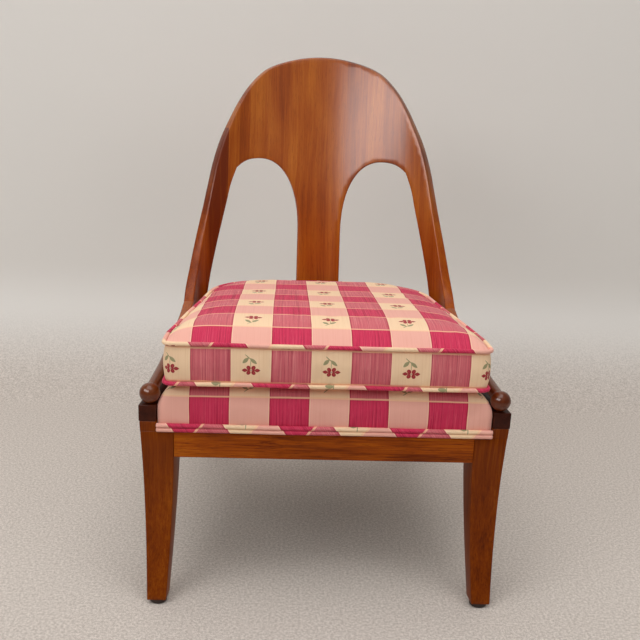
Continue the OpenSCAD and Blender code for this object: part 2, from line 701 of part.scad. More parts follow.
// A solid lofted through loops of points, from the lowest to the highest, each anticlockwise
module loft(loops) {
    n = len(loops[0]);
    polyhedron(
        points = [for (l = loops) each l],
        faces = concat(
            [[for (k = [0 : n - 1]) k]],
            [for (i = [0 : len(loops) - 2]) for (k = [0 : n - 1]) let (m = (k + 1) % n)
                [i * n + k, (i + 1) * n + k, (i + 1) * n + m, i * n + m]],
            [[for (k = [n - 1 : -1 : 0]) (len(loops) - 1) * n + k]]),
        convexity = 4);
}
function arc(centre, r, from, to, n) =
    [for (i = [0 : n]) let (a = from + (to - from) * i / n)
        [centre[0] + r * cos(a), centre[1] + r * sin(a)]];
function mirrored(right) = concat(right, [for (i = [len(right) - 1 : -1 : 0]) [-right[i][0], right[i][1]]]);

// Deck: a padded top on a frame of bars, webbing and hessian
seat_fall = tan(seat_slope);
roll_share = 0.6;
deck_corner_r = 6;
deck_back_r = 40;
bar_front_y = deck_front_y + deck_bar_w;
bar_back_y = deck_back_y - deck_bar_w;
function side_centre(half, rise, r) = half - rise * tan(rail_splay) - r / cos(rail_splay);
function deck_outline(skin, roll) =
    let (front_y = deck_front_y + skin + roll * roll_share, back_y = deck_back_y - skin - roll * roll_share,
        half = rail_inner_x(front_y) - soft_gap - skin - roll, fr = deck_corner_r + roll * roll_share,
        br = deck_back_r)
    mirrored(concat(
        arc([side_centre(half, fr, fr), front_y + fr], fr, -90, rail_splay, turn_steps),
        arc([side_centre(half, back_y - br - front_y, br), back_y - br], br, rail_splay, 90, turn_steps)));
function deck_top_at(y) = deck_seat_h + deck_h - seat_fall * y;
function deck_roll_loop(skin, a) =
    [for (p = deck_outline(skin, (deck_edge_in - skin) * (1 - cos(a))))
        let (high = deck_top_at(p[1]), rise = min(deck_edge_r, high - web_h))
        [p[0], p[1], high - skin - (rise - skin) * (1 - sin(a))]];
function deck_loops(skin, low) = concat(
    [[for (p = deck_outline(skin, 0)) [p[0], p[1], low]]],
    [for (i = [0 : edge_steps]) deck_roll_loop(skin, 90 * i / edge_steps)]);
module deck_cover() {
    color(rose) seated() difference() {
        loft(deck_loops(0, deck_seat_h + fit_gap));
        loft(deck_loops(cloth_t, deck_seat_h - over));
    }
}
module deck_pad() {
    color(foam) seated() difference() {
        loft(deck_loops(cloth_t + fit_gap, deck_seat_h));
        translate([-frame_w / 2, 0, 0]) cube([frame_w, depth_back, pad_low_h]);
    }
}
function bar_in_x(y) = rail_inner_x(y) - deck_bar_w;
module deck_bars(from_y, to_y) {
    color(pale_wood) seated() difference() {
        intersection() {
            translate([0, 0, deck_seat_h]) linear_extrude(deck_bar_h)
                polygon(deck_outline(cloth_t + fit_gap, 0));
            translate([-frame_w / 2, from_y, 0]) cube([frame_w, to_y - from_y, seat_rail_h]);
        }
        linear_extrude(seat_rail_h) polygon([
            [-bar_in_x(bar_front_y), bar_front_y], [bar_in_x(bar_front_y), bar_front_y],
            [bar_in_x(bar_back_y), bar_back_y], [-bar_in_x(bar_back_y), bar_back_y]]);
        both_sides() deck_screw_set(fit_gap);
    }
}
module deck_front_bar() deck_bars(0, bar_front_y);
module deck_side_bars() deck_bars(bar_front_y, bar_back_y);
module deck_rear_bar() deck_bars(bar_back_y, depth_back);
module webbing_across() {
    color(hessian) seated() for (i = [0 : across_count - 1]) {
        y = bar_front_y + (bar_back_y - bar_front_y) * (i + 0.5) / across_count;
        half = bar_in_x(y) + deck_bar_w / 2;
        translate([-half, y - strap_w / 2, web_h]) cube([2 * half, strap_w, strap_t]);
    }
}
module webbing_along() {
    reach = bar_back_y - bar_front_y + deck_bar_w;
    color(hessian) seated() for (i = [0 : along_count - 1]) {
        x = 2 * bar_in_x(bar_back_y) * ((i + 0.5) / along_count - 0.5);
        translate([x - strap_w / 2, bar_front_y - deck_bar_w / 2, web_h + strap_t])
            cube([strap_w, reach, strap_t]);
    }
}
module deck_hessian() color(hessian) seated() translate([0, 0, web_h + 2 * strap_t])
    linear_extrude(hessian_t) polygon(deck_outline(cloth_t + deck_bar_w / 4, 0));
module welt(row) {
    r = welt_d / 2;
    half = rail_inner_x(0) - soft_gap;
    color(magenta) seated() translate([-half, deck_front_y - r, deck_seat_h + r + row * welt_d])
        rotate([0, 90, 0]) cylinder(d = welt_d, h = 2 * half);
}
module deck_welt_upper() welt(1);
module deck_welt_lower() welt(0);
module dust_cover() {
    cut = deck_bar_w + deck_screw_in + block_reach / 2;
    from_y = block_front_y + soft_gap;
    to_y = bar_back_y + dust_lap;
    edge = soft_gap;
    color(black_cloth) seated() translate([0, 0, deck_seat_h - dust_t]) linear_extrude(dust_t)
        polygon(mirrored([
            [rail_inner_x(from_y) - cut, from_y], [rail_inner_x(from_y + cut) - edge, from_y + cut],
            [rail_inner_x(to_y - cut) - edge, to_y - cut], [rail_inner_x(to_y) - cut, to_y]]));
}

// Cushion: a boxed cover round a core, piped along both edges of the boxing
shoulder_y = 69;
crown_reach = 120;
crown_steps = 6;
boxing_steps = 6;
boxing_bulge = 5;
cushion_h = boxing_h + piping_d;
piping_r = piping_d / 2;
seam_in = piping_d + fit_gap;
module cushion_frame() translate([0, 0, deck_seat_h + deck_h + soft_gap]) rotate([-seat_slope, 0, 0])
    translate([0, -cushion_proud, 0]) children();
function cushion_outline(inset) =
    let (s = cushion_splay, fr = max(cushion_front_r - inset, piping_r),
        centre_y = cushion_d - cushion_back_r,
        centre_x = cushion_half_w - (centre_y - shoulder_y) * tan(s) - cushion_back_r / cos(s))
    mirrored(concat(
        arc([cushion_half_w - inset - fr, inset + fr], fr, -90, 0, turn_steps),
        [[cushion_half_w - inset, max(shoulder_y, inset + fr + piping_d)]],
        arc([centre_x, centre_y], cushion_back_r - inset, s, 90, turn_steps)));
function cushion_loop(inset, z) = [for (p = cushion_outline(inset)) [p[0], p[1], z]];
// The boxing swells between the two seams; skin is the distance in from its outer face
function boxing_loops(skin) =
    [for (i = [0 : boxing_steps]) let (u = i / boxing_steps)
        cushion_loop(seam_in + skin - boxing_bulge * sin(180 * u), piping_d + (boxing_h - piping_d) * u)];
function crown_loops(skin) =
    [for (i = [0 : crown_steps]) let (a = 90 * i / crown_steps)
        cushion_loop(seam_in + skin + crown_reach * (1 - cos(a)),
            cushion_h - cloth_t + cushion_crown * sin(a) + (skin > 0 ? 0 : cloth_t))];
module cushion_core() color(foam) seated() cushion_frame() loft(concat(
    [cushion_loop(seam_in + cloth_t + fit_gap, cloth_t + fit_gap)],
    boxing_loops(cloth_t + fit_gap),
    [for (l = crown_loops(cloth_t + fit_gap)) [for (p = l) p - [0, 0, soft_gap]]]));
module cushion_boxing() {
    color(cream) seated() cushion_frame() difference() {
        loft(concat([cushion_loop(seam_in, cloth_t)], boxing_loops(0),
            [cushion_loop(seam_in, cushion_h - cloth_t)]));
        loft(concat([cushion_loop(seam_in + cloth_t, 0)], boxing_loops(cloth_t),
            [cushion_loop(seam_in + cloth_t, cushion_h)]));
    }
}
module cushion_bottom_panel() color(cream) seated() cushion_frame() linear_extrude(cloth_t)
    polygon(cushion_outline(seam_in));
function reversed(list) = [for (i = [len(list) - 1 : -1 : 0]) list[i]];
module cushion_top_panel() color(rose) seated() cushion_frame() loft(concat(
    reversed(crown_loops(cloth_t)),
    [cushion_loop(seam_in, cushion_h - cloth_t)],
    crown_loops(0)));
// Piping: a cord swept round the outline, with its centre line half its thickness inside it
module piping(z) {
    outline = cushion_outline(piping_r);
    n = len(outline);
    rings = [for (i = [0 : n - 1])
        let (t = outline[(i + 1) % n] - outline[(i + n - 1) % n], out = [t[1], -t[0]] / norm(t))
        [for (k = [0 : tube_sides - 1]) let (w = 360 * (k + 0.5) / tube_sides, c = piping_r * cos(w))
            [outline[i][0] + out[0] * c, outline[i][1] + out[1] * c, z + piping_r * sin(w)]]];
    color(magenta) seated() cushion_frame() polyhedron(
        points = [for (r = rings) each r],
        faces = [for (i = [0 : n - 1]) for (k = [0 : tube_sides - 1])
            let (j = (i + 1) % n, m = (k + 1) % tube_sides)
            [i * tube_sides + k, i * tube_sides + m, j * tube_sides + m, j * tube_sides + k]],
        convexity = 6);
}
module cushion_piping_top() piping(piping_r + boxing_h);
module cushion_piping_bottom() piping(piping_r);

back_shell();
left_arm();
right_arm();
front_leg_left();
front_leg_right();
rear_leg_left();
rear_leg_right();
front_rail();
rear_rail();
side_rail_left();
side_rail_right();
corner_blocks();
block_screws();
deck_screws();
rail_dowels();
tongue_dowels();
stile_dowels();
arm_dowels();
ball_dowels();
splat_screws();
splat_plugs();
glides();
glide_pins();
deck_front_bar();
deck_rear_bar();
deck_side_bars();
webbing_across();
webbing_along();
deck_hessian();
deck_pad();
deck_cover();
deck_welt_upper();
deck_welt_lower();
dust_cover();
cushion_core();
cushion_top_panel();
cushion_boxing();
cushion_bottom_panel();
cushion_piping_top();
cushion_piping_bottom();
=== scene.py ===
import bpy
import bmesh
import math
import numpy as np
from mathutils import Matrix, Vector, geometry

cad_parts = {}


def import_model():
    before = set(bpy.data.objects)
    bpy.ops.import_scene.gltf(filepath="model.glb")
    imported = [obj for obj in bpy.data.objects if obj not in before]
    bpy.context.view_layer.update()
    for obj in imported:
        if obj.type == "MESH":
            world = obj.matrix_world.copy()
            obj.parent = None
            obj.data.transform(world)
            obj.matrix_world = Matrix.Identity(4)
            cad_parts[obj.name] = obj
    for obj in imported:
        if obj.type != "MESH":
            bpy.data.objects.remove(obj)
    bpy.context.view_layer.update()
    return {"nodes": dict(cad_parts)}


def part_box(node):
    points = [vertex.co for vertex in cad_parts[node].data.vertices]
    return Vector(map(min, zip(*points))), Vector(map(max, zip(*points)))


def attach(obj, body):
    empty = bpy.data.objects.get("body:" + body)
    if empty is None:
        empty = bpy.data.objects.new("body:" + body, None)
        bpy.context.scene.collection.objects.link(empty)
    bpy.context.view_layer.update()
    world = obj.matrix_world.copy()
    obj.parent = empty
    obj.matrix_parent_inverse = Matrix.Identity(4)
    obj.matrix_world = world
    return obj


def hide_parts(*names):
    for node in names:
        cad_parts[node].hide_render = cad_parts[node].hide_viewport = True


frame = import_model()
nodes = frame["nodes"]
scene = bpy.context.scene

# The part is drawn in millimetres from the front plane of the leg tops, as its source is
MM = 0.001
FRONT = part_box("side_rail_right")[0].y
FIT, JOINT_GAP, SOFT_GAP = 0.1, 0.15, 0.3

# Rails and legs
WIDTH, RAIL_H, RAIL_T, RAIL_D, SPLAY = 610.0, 340.0, 28.0, 72.0, math.radians(6)
SEAT_H, RAIL_LOW, TONGUE_LOW = 295.0, 249.0, 312.0
FRONT_RAIL_IN, FRONT_RAIL_T = 0.8, 26.0
LEG_W, LEG_D, FOOT_W, FOOT_D, GLIDE_H = 56.0, 55.0, 31.0, 30.0, 8.0
LEAN_IN, FRONT_SWEEP, REAR_SWEEP = 20.0, 47.0, 168.0
LEAN_POWER, TAPER_POWER, SWEEP_POWER = 1.15, 1.3, 1.7
LEG_ROUND, FOOT_ROUND = 2.2, 1.0

# The back is a three-centre oval in plan and leans back
BACK_LINE, BACK_DEPTH, CORNER_R, LEAN = 345.0, 164.0, 101.0, 0.25
CREST_T, STILE_T, STILE_IN, STILE_LAP = 13.0, 19.0, 2.7, 15.0
BACK_H, SPLAT_EDGE, SPLAT_DROP = 539.0, 46.0, 84.0
ARCH_HALF, ARCH_H, ARCH_RISE, ARCH_POWER = 94.0, 335.0, 155.0, 2.3
EDGE_ROUND, JOINT_ROUND, BACK_GRID = 2.6, 0.5, 8.0
CROWN_Y = BACK_LINE + BACK_DEPTH
BLOCK_Y = CROWN_Y - 16
HALF_W = WIDTH / 2 - BACK_LINE * math.tan(SPLAY) - STILE_IN
CORNER_X = HALF_W - CORNER_R
CROWN_R = (CORNER_X ** 2 + BACK_DEPTH ** 2 - CORNER_R ** 2) / (2 * (BACK_DEPTH - CORNER_R))
TURN = math.atan2(CROWN_R - BACK_DEPTH, CORNER_X)
CROWN_RUN = CROWN_R * (math.pi / 2 - TURN)
CORNER_RUN = CORNER_R * TURN
HALF_GIRTH = CROWN_RUN + CORNER_RUN + STILE_LAP
# Shares of the half girth and of the back's height
TOP_EDGE = [[-0.17, 0.988], [0, 1], [0.17, 0.988], [0.338, 0.952], [0.44, 0.897], [0.52, 0.829],
            [0.585, 0.757], [0.637, 0.693], [0.684, 0.612], [0.722, 0.52], [0.752, 0.45], [0.798, 0.36],
            [0.858, 0.26], [0.905, 0.208], [0.957, 0.17], [1, 0.148]]
REAR_EDGE = [[0.5313, 0.598], [0.552, 0.57], [0.582, 0.525], [0.606, 0.469], [0.665, 0.341],
             [0.707, 0.241], [0.744, 0.141], [0.778, 0.06], [0.808, 0]]

# The arms end in a ball. Each row: share of the run, top and underside as shares of the back's height, and
# share of the way out
BALL_X, BALL_Y, BALL_R, ARM_W = 287.5, 12.0, 17.0, 21.0
BALL_Z = RAIL_H + FIT + BALL_R
ARM = [[0, 0.148, 0, 0], [0.03, 0.1415, 0.0115, 0.03], [0.07, 0.132, 0.0235, 0.07],
       [0.13, 0.1225, 0.0355, 0.13], [0.2, 0.1135, 0.043, 0.21], [0.3, 0.103, 0.0455, 0.32],
       [0.42, 0.092, 0.0435, 0.43], [0.56, 0.08, 0.0365, 0.55], [0.7, 0.069, 0.0275, 0.68],
       [0.84, 0.0605, 0.0205, 0.83], [0.95, 0.0555, 0.0165, 0.95], [1, 0.054, 0.015, 1]]

# The fixed deck, and the double welt under its front
DECK_BAR_H, WELT_R = 28.0, 3.8
DECK_FRONT, DECK_TOP = 1.6, SEAT_H + 81.7
DECK_BACK = CROWN_Y - CREST_T - LEAN * (RAIL_H - SEAT_H) - 7.75
ROLL_H, ROLL_IN, ROLL_SHARE, DECK_CORNER, DECK_BACK_R = 44.0, 52.0, 0.6, 6.0, 40.0
FRONT_LINE_H, CLOTH_FIT = 355.5, 0.987

# The loose cushion, in its own frame: x across, y back from its front, z up from its underside
CUSHION_PROUD, SLOPE = 9.0, math.radians(2.1)
CUSHION_W, CUSHION_D = WIDTH / 2 - 38, CROWN_Y - CREST_T + CUSHION_PROUD - 1
CUSHION_R, BACK_CORNER_R = 17.0, CORNER_R + STILE_T + 20
CUSHION_SPLAY, SHOULDER, EASE, EASE_IN = math.radians(8.5), 69.0, 22.0, 0.8
PIPING_R, BOXING, SEAM_IN, BULGE = 3.5, 66.0, 6.3, 4.2
SEAM_LOW, SEAM_TOP = PIPING_R, PIPING_R + BOXING
CROWN_AT = [0, 45, 105, 166, 226, 287, 347, 408, 468, 500]
CROWN_H = [28, 27.3, 25.2, 22.8, 20.2, 16.6, 13.0, 10.6, 9.6, 9.0]
# How wide the crown's fall to the seam is in front of FALL_AT and behind it
FALL, FALL_AT = (22.0, 14.0), (120, 300)
LIP, LIP_RUN, UNDERSIDE, UNDERSIDE_RUN = 2.0, 3.0, 0.7, 4.0

# How fine the meshes are: points round half the cushion, its grid and rows, and the deck's grid and rings
CUSHION_POINTS, CUSHION_GRID, BOXING_ROWS, BULGE_POWER = 150, 8.0, 10, 0.8
DECK_GRID, DECK_SIDE_RINGS, DECK_ROLL_RINGS, DECK_FOOT = 12.0, 8, 12, SEAT_H + 0.4

# The check: columns across, rows along, and where a cream column lies
COLUMN, DARK_ROW, LIGHT_ROW, CREAM_AT = 64.3, 61.0, 60.0, 4.5
PERIOD = DARK_ROW + LIGHT_ROW
# Where the rows lie on the cushion's top and underside, and how the cloth is eased there
TOP_ROWS_AT, UNDER_ROWS_AT, BOXING_EASE, COLUMN_EASE, COLUMN_EASE_RUN = 44, 20, 1.04, 0.064, 480
# The cords' cloth lies at 45 degrees, and the pull round the cord narrows it
BIAS, CORD_PULL, CORD_ROW_ACROSS, CORD_ROW_ALONG = 0.707, 0.62, 0.7, 0.66
# The sprig's ellipses, from the flower's middle: x, y, half width, half height, turn in degrees, and the
# power of the curve where it isn't 2. All but the leaves are drawn on both sides of the middle.
FLOWER = ((3.8, 4.3, 3.3, 4.0, -28), (3.9, -4.4, 3.3, 4.0, 28), (9.8, 0.0, 4.8, 3.3, 0, 1.3),
          (4.6, 0.0, 4.0, 0.9, 0))
VEINS = ((4.3, 4.3, 1.0, 1.7, -24), (4.4, -4.4, 1.0, 1.7, 24), (8.8, 0.0, 1.7, 0.7, 0))
HALO = ((4.6, 0.0, 6.6, 9.4, 0), (9.8, 0.0, 5.6, 4.0, 0, 1.25))
HEART = ((0.0, 0.0, 1.1, 1.5, 0),)
LEAVES = ((-8.3, 16.9, 6.6, 3.1, 45, 1.5), (3.9, 15.9, 7.0, 2.8, -40, 1.5), (-4.6, 22.6, 6.4, 0.75, -41),
          (-0.3, 12.4, 0.5, 6.2, 0))


def curve(table, x, column=1):
    """A smooth curve through a column of a table, whose first column is x"""
    i = 0
    while i < len(table) - 2 and x > table[i + 1][0]:
        i += 1

    def slope(k):
        a, b = max(k - 1, 0), min(k + 1, len(table) - 1)
        return (table[b][column] - table[a][column]) / (table[b][0] - table[a][0])

    w = table[i + 1][0] - table[i][0]
    u = (x - table[i][0]) / w
    a, b, da, db = table[i][column], table[i + 1][column], slope(i) * w, slope(i + 1) * w
    return (a * (1 + 2 * u) * (1 - u) ** 2 + b * u * u * (3 - 2 * u)
            + da * u * (1 - u) ** 2 - db * u * u * (1 - u))


def ramp(x, low, high):
    u = min(max((x - low) / (high - low), 0), 1)
    return u * u * (3 - 2 * u)


def linear(r, g, b):
    """A colour given as screen values 0-255, for a shader"""
    return tuple(c / 12.92 if c <= 0.04045 else ((c + 0.055) / 1.055) ** 2.4
                 for c in (r / 255, g / 255, b / 255)) + (1.0,)


# Materials
class Net:
    """Short names for building a node tree"""

    def __init__(self, tree):
        self.tree = tree

    def node(self, kind, **settings):
        n = self.tree.nodes.new(kind)
        for name, value in settings.items():
            setattr(n, name, value)
        return n

    def put(self, socket, value):
        if isinstance(value, bpy.types.NodeSocket):
            self.tree.links.new(value, socket)
        elif value is not None:
            socket.default_value = value

    def made(self, n, *values):
        """Fills a node's first inputs in order, and returns its first output"""
        for socket, value in zip(n.inputs, values):
            self.put(socket, value)
        return n.outputs[0]

    def math(self, op, *values):
        return self.made(self.node("ShaderNodeMath", operation=op), *values)

    def times(self, *values):
        found = values[0]
        for value in values[1:]:
            found = self.math("MULTIPLY", found, value)
        return found

    def plus(self, a, b):
        return self.math("ADD", a, b)

    def minus(self, a, b):
        return self.math("SUBTRACT", a, b)

    def line(self, value, slope, start):
        return self.math("MULTIPLY_ADD", value, slope, start)

    def wave(self, value, pitch):
        return self.math("SINE", self.times(value, 2 * math.pi / pitch))

    def most(self, *masks):
        found = masks[0]
        for mask in masks[1:]:
            found = self.math("MAXIMUM", found, mask)
        return found

    def parts(self, vector):
        """The x, y and z of a vector"""
        n = self.node("ShaderNodeSeparateXYZ")
        self.put(n.inputs[0], vector)
        return n.outputs

    def join(self, *values):
        return self.made(self.node("ShaderNodeCombineXYZ"), *values)

    def stretch(self, vector, x, y, z):
        return self.made(self.node("ShaderNodeVectorMath", operation="MULTIPLY"), vector, (x, y, z))

    def step(self, value, low, high, to_low=0.0, to_high=1.0):
        n = self.node("ShaderNodeMapRange", interpolation_type="SMOOTHSTEP")
        return self.made(n, value, low, high, to_low, to_high)

    def mix(self, share, a, b, blend="MIX"):
        n = self.node("ShaderNodeMix", data_type="RGBA", blend_type=blend)
        for k, value in ((0, share), (6, a), (7, b)):
            self.put(n.inputs[k], value)
        return n.outputs[2]

    def cover(self, under, mask, strength, colour):
        """Lays a colour over another one where the mask is, as strongly as given"""
        return self.mix(self.times(mask, strength), under, colour)

    def noise(self, vector, scale, detail=2.0, roughness=0.5):
        n = self.node("ShaderNodeTexNoise")
        values = {"Vector": vector, "Scale": scale, "Detail": detail, "Roughness": roughness}
        for key, value in values.items():
            self.put(n.inputs[key], value)
        return n.outputs["Fac"]

    def streaks(self, vector, across, along, detail=2.0, roughness=0.5):
        """Noise drawn out along the third coordinate; across and along are waves in each metre"""
        return self.noise(self.stretch(vector, across, across, along), 1.0, detail, roughness)

    def bump(self, height, strength, distance):
        n = self.node("ShaderNodeBump")
        for key, value in (("Strength", strength), ("Distance", distance), ("Height", height)):
            self.put(n.inputs[key], value)
        return n.outputs[0]

    def attribute(self, name, output):
        return self.node("ShaderNodeAttribute", attribute_name=name).outputs[output]

    def place(self):
        return self.node("ShaderNodeTexCoord").outputs["Object"]


def new_material(name, **values):
    """A material, its net and its shader; values are set on the shader's own sockets"""
    m = bpy.data.materials.new(name)
    m.use_nodes = True
    shader = m.node_tree.nodes["Principled BSDF"]
    for key, value in values.items():
        shader.inputs[key.replace("_", " ").title().replace("Ior", "IOR")].default_value = value
    return m, Net(m.node_tree), shader


STAVE_SPAN = 720.0
# Where each stave starts round the back, and its tone. The two outermost on the left are darker as painted
# shade, where the left stile faces away from the light
STAVE_TONES_AND_SHADE = [(-360, 0.3), (-270, 0.2), (-216, 0.72), (-188, 0.36), (-162, 0.56), (-118, 0.48), (-74, 0.6),
          (-30, 0.5), (12, 0.62), (52, 0.46), (96, 0.58), (140, 0.5), (186, 0.6), (226, 0.44), (270, 0.58)]


def stave_tone_and_shade(net, across):
    """The back is glued up from staves. Each has its own tone, from the place where it starts; the two outer
    ones on the left are also darkened as painted shade
    """
    bands = net.node("ShaderNodeValToRGB")
    bands.color_ramp.interpolation = "CONSTANT"
    points = bands.color_ramp.elements
    while len(points) > 1:
        points.remove(points[-1])
    for i, (start, tone) in enumerate(STAVE_TONES_AND_SHADE):
        share = start / STAVE_SPAN + 0.5
        p = points.new(share) if i else points[0]
        p.position = share
        p.color = (tone, tone, tone, 1)
    net.put(bands.inputs[0], net.line(across, 1 / (STAVE_SPAN * MM), 0.5))
    return net.line(bands.outputs[0], 0.7, -0.35)


def wood(name, dark, mid, light, coat=0.25, rough=0.36, along=None, pore=1.0, figure=0.4, gloss=0.05,
         polish=0.24, darkening=None, is_back=False):
    """Wood with its grain along the third coordinate of the piece's grain, or along x or z of the object.
    A darkening has the places along the grain where it starts and where it is full, and a colour to multiply
    by"""
    m, net, shader = new_material(name, specular_ior_level=gloss, coat_weight=coat, coat_roughness=polish)
    if along is None:
        grain = net.attribute("grain", "Vector")
    else:
        xyz = net.parts(net.place())
        grain = net.join(*(xyz[k] for k in {"x": (1, 2, 0), "z": (0, 1, 2)}[along]))
    # The grain wanders, and its width changes along the wood
    bend = net.line(net.streaks(grain, 14, 3.5), 0.03, -0.015)
    bent = net.made(net.node("ShaderNodeVectorMath", operation="ADD"), grain, net.join(bend))
    wander = net.streaks(bent, 11, 4.5)
    wide = net.streaks(bent, 75, 3.0, 3, 0.6)
    fine = net.streaks(bent, 430, 10, 3, 0.65)
    thread = net.streaks(bent, 1500, 34, 2, 0.6)
    fleck = net.step(net.streaks(bent, 900, 60, 1), 0.6, 0.72)
    tone = net.plus(net.times(wide, 0.62), net.times(wander, 0.8))
    tone = net.plus(tone, net.line(fine, figure, -0.21 - figure / 2))
    across, _, up = net.parts(grain)
    if is_back:
        tone = net.plus(tone, stave_tone_and_shade(net, across))
    shades = net.node("ShaderNodeValToRGB")
    points = shades.color_ramp.elements
    points[0].position, points[0].color = 0.2, dark
    points[1].position, points[1].color = 0.85, light
    points.new(0.5).color = mid
    net.put(shades.inputs[0], tone)
    colour = net.cover(shades.outputs[0], net.step(thread, 0.45, 0.75), 0.26, dark)
    colour = net.cover(colour, fleck, 0.34 * pore, tuple(c * 0.45 for c in dark[:3]) + (1,))
    # The wood is multiplied by a colour along the grain: on the back this is painted shade, on the arms it
    # darkens them towards the ball
    if darkening is not None:
        start, full, tint = darkening
        colour = net.mix(net.step(up, start, full), colour, tint, blend="MULTIPLY")
    if is_back:
        # The edge darkens above the arms, partly as the board's stained edge and partly as painted shade
        # where it faces away from the light, and the crest is polished best
        colour = net.cover(colour, net.attribute("edge_stain_and_shade", "Fac"), 0.5, linear(52, 18, 6))
        net.put(shader.inputs["Coat Weight"], net.step(up, 0.5, 0.7, 0.3, coat))
    net.put(shader.inputs["Base Color"], colour)
    net.put(shader.inputs["Roughness"], net.line(fine, 0.14, rough - 0.07))
    height = net.plus(net.times(fleck, -0.6), net.times(thread, 0.3))
    net.put(shader.inputs["Normal"], net.bump(height, 0.25, 0.0002))
    return m


def check_group():
    """The woven check: u runs across the cloth and v along it, in metres"""
    tree = bpy.data.node_groups.new("check_cloth", "ShaderNodeTree")
    for name, way, kind in (("Cloth", "INPUT", "Vector"), ("Color", "OUTPUT", "Color"),
                            ("Height", "OUTPUT", "Float")):
        tree.interface.new_socket(name, in_out=way, socket_type="NodeSocket" + kind)
    net = Net(tree)
    place = net.node("NodeGroupInput").outputs[0]
    end = net.node("NodeGroupOutput")
    u, v, _ = net.parts(place)
    # Threads wander a little, so that no line is quite straight
    warp = net.noise(net.stretch(place, 14, 14, 0), 1.0, 1)
    weft = net.noise(net.stretch(place, 11, 17, 0), 1.7, 1)
    x_mm = net.line(u, 1 / MM, net.line(warp, 1.6, -0.8))
    y_mm = net.line(v, 1 / MM, net.line(weft, 1.2, -0.6))
    across = net.math("FLOORED_MODULO", net.plus(x_mm, COLUMN / 2 - CREAM_AT), 2 * COLUMN)
    along = net.math("FLOORED_MODULO", y_mm, PERIOD)
    column = net.step(across, COLUMN - 0.25, COLUMN + 0.25)
    row = net.step(along, DARK_ROW - 0.25, DARK_ROW + 0.25)

    def strips(value, half, *places):
        return net.most(*(net.step(net.math("ABSOLUTE", net.minus(value, at)), half, half - 0.35)
                          for at in places))

    # Streaks of uneven yarn run along the cloth
    streak = net.noise(net.stretch(place, 820, 6, 0), 1.0, 2, 0.65)
    wide = net.noise(net.stretch(place, 230, 3, 0), 1.0, 2, 0.6)
    hair = net.noise(net.stretch(place, 1500, 60, 0), 1.0, 1)
    dark = net.plus(net.step(streak, 0.53, 0.66), net.times(net.step(wide, 0.5, 0.68), 0.55))
    pale = net.plus(net.step(streak, 0.46, 0.34), net.times(net.step(hair, 0.6, 0.7), 0.5))
    magenta = net.cover(linear(206, 46, 86), dark, 0.6, linear(146, 8, 46))
    magenta = net.cover(magenta, pale, 0.4, linear(236, 104, 130))
    rose = net.cover(linear(210, 104, 114), dark, 0.6, linear(168, 54, 74))
    rose = net.cover(rose, pale, 0.45, linear(236, 166, 160))
    pink = net.cover(linear(240, 179, 163), dark, 0.22, linear(220, 142, 130))
    cream = net.cover(linear(248, 214, 177), dark, 0.24, linear(226, 180, 134))
    cloth = net.mix(column, net.mix(row, pink, cream), net.mix(row, magenta, rose))
    # A darker thread just inside each dark column, a pale one just outside it, and pale lines between rows
    within = strips(across, 0.9, COLUMN + 1.3, 2 * COLUMN - 1.3)
    cloth = net.cover(cloth, within, 0.6, linear(160, 22, 52))
    outside = strips(across, 0.7, COLUMN - 0.7, 0.7)
    cloth = net.cover(cloth, outside, 0.65, linear(255, 226, 188))
    between = strips(along, 1.7, DARK_ROW, PERIOD - 1.4)
    cloth = net.cover(cloth, between, 0.8, linear(250, 200, 162))
    # The sprig in each cream square: leaves hang from a stem over a flower with round and pointed petals
    x = net.minus(across, COLUMN / 2)
    y = net.minus(along, DARK_ROW + LIGHT_ROW / 2 - 7.6)
    mirrored = net.math("ABSOLUTE", net.minus(x, 0.3))
    cream_square = net.times(row, net.minus(1.0, column))

    def ellipse(px, cx, cy, rx, ry, turn, power=2.0):
        c, s = math.cos(math.radians(turn)), math.sin(math.radians(turn))
        dx, dy = net.minus(px, cx), net.minus(y, cy)
        a = net.plus(net.times(dx, c / rx), net.times(dy, s / rx))
        b = net.plus(net.times(dx, -s / ry), net.times(dy, c / ry))
        d = net.plus(*(net.math("POWER", net.math("ABSOLUTE", k), power) for k in (a, b)))
        return net.step(d, 1.15, 0.85)

    def drawn(px, shapes):
        return net.times(net.most(*(ellipse(px, *shape) for shape in shapes)), cream_square)

    flower = drawn(mirrored, FLOWER)
    veins = net.most(*(ellipse(mirrored, *shape) for shape in VEINS))
    petal = net.cover(linear(158, 10, 38), veins, 0.32, linear(214, 78, 96))
    cloth = net.cover(cloth, drawn(mirrored, HALO), 0.15, linear(255, 206, 178))
    cloth = net.cover(cloth, flower, 0.96, petal)
    cloth = net.cover(cloth, drawn(mirrored, HEART), 0.7, linear(150, 140, 134))
    cloth = net.cover(cloth, drawn(x, LEAVES), 0.9, linear(142, 142, 102))
    height = net.line(net.times(net.wave(u, 0.0006), net.wave(v, 0.0008)), 0.25, streak)
    height = net.plus(height, net.times(between, -0.5))
    height = net.plus(height, net.times(flower, 0.6))
    net.put(end.inputs[0], cloth)
    net.put(end.inputs[1], height)
    return tree


def cloth_material(name):
    m, net, shader = new_material(name, roughness=0.72, sheen_weight=0.1, sheen_roughness=0.4,
                                  specular_ior_level=0.25)
    g = net.node("ShaderNodeGroup", node_tree=check_group())
    net.put(g.inputs[0], net.node("ShaderNodeUVMap", uv_map="cloth").outputs[0])
    net.put(shader.inputs["Base Color"], g.outputs[0])
    net.put(shader.inputs["Normal"], net.bump(g.outputs[1], 0.35, 0.0004))
    return m


def plain(name, low, high, scale, rough, metal=0.0):
    """A small piece: two close colours mixed by a noise, with the same noise as bump"""
    m, net, shader = new_material(name, metallic=metal)
    n = net.streaks(net.place(), scale, scale, 3, 0.6)
    net.put(shader.inputs["Base Color"], net.mix(n, low, high))
    net.put(shader.inputs["Roughness"], net.line(n, 0.15, rough - 0.07))
    net.put(shader.inputs["Normal"], net.bump(n, 0.3, 0.0002))
    return m


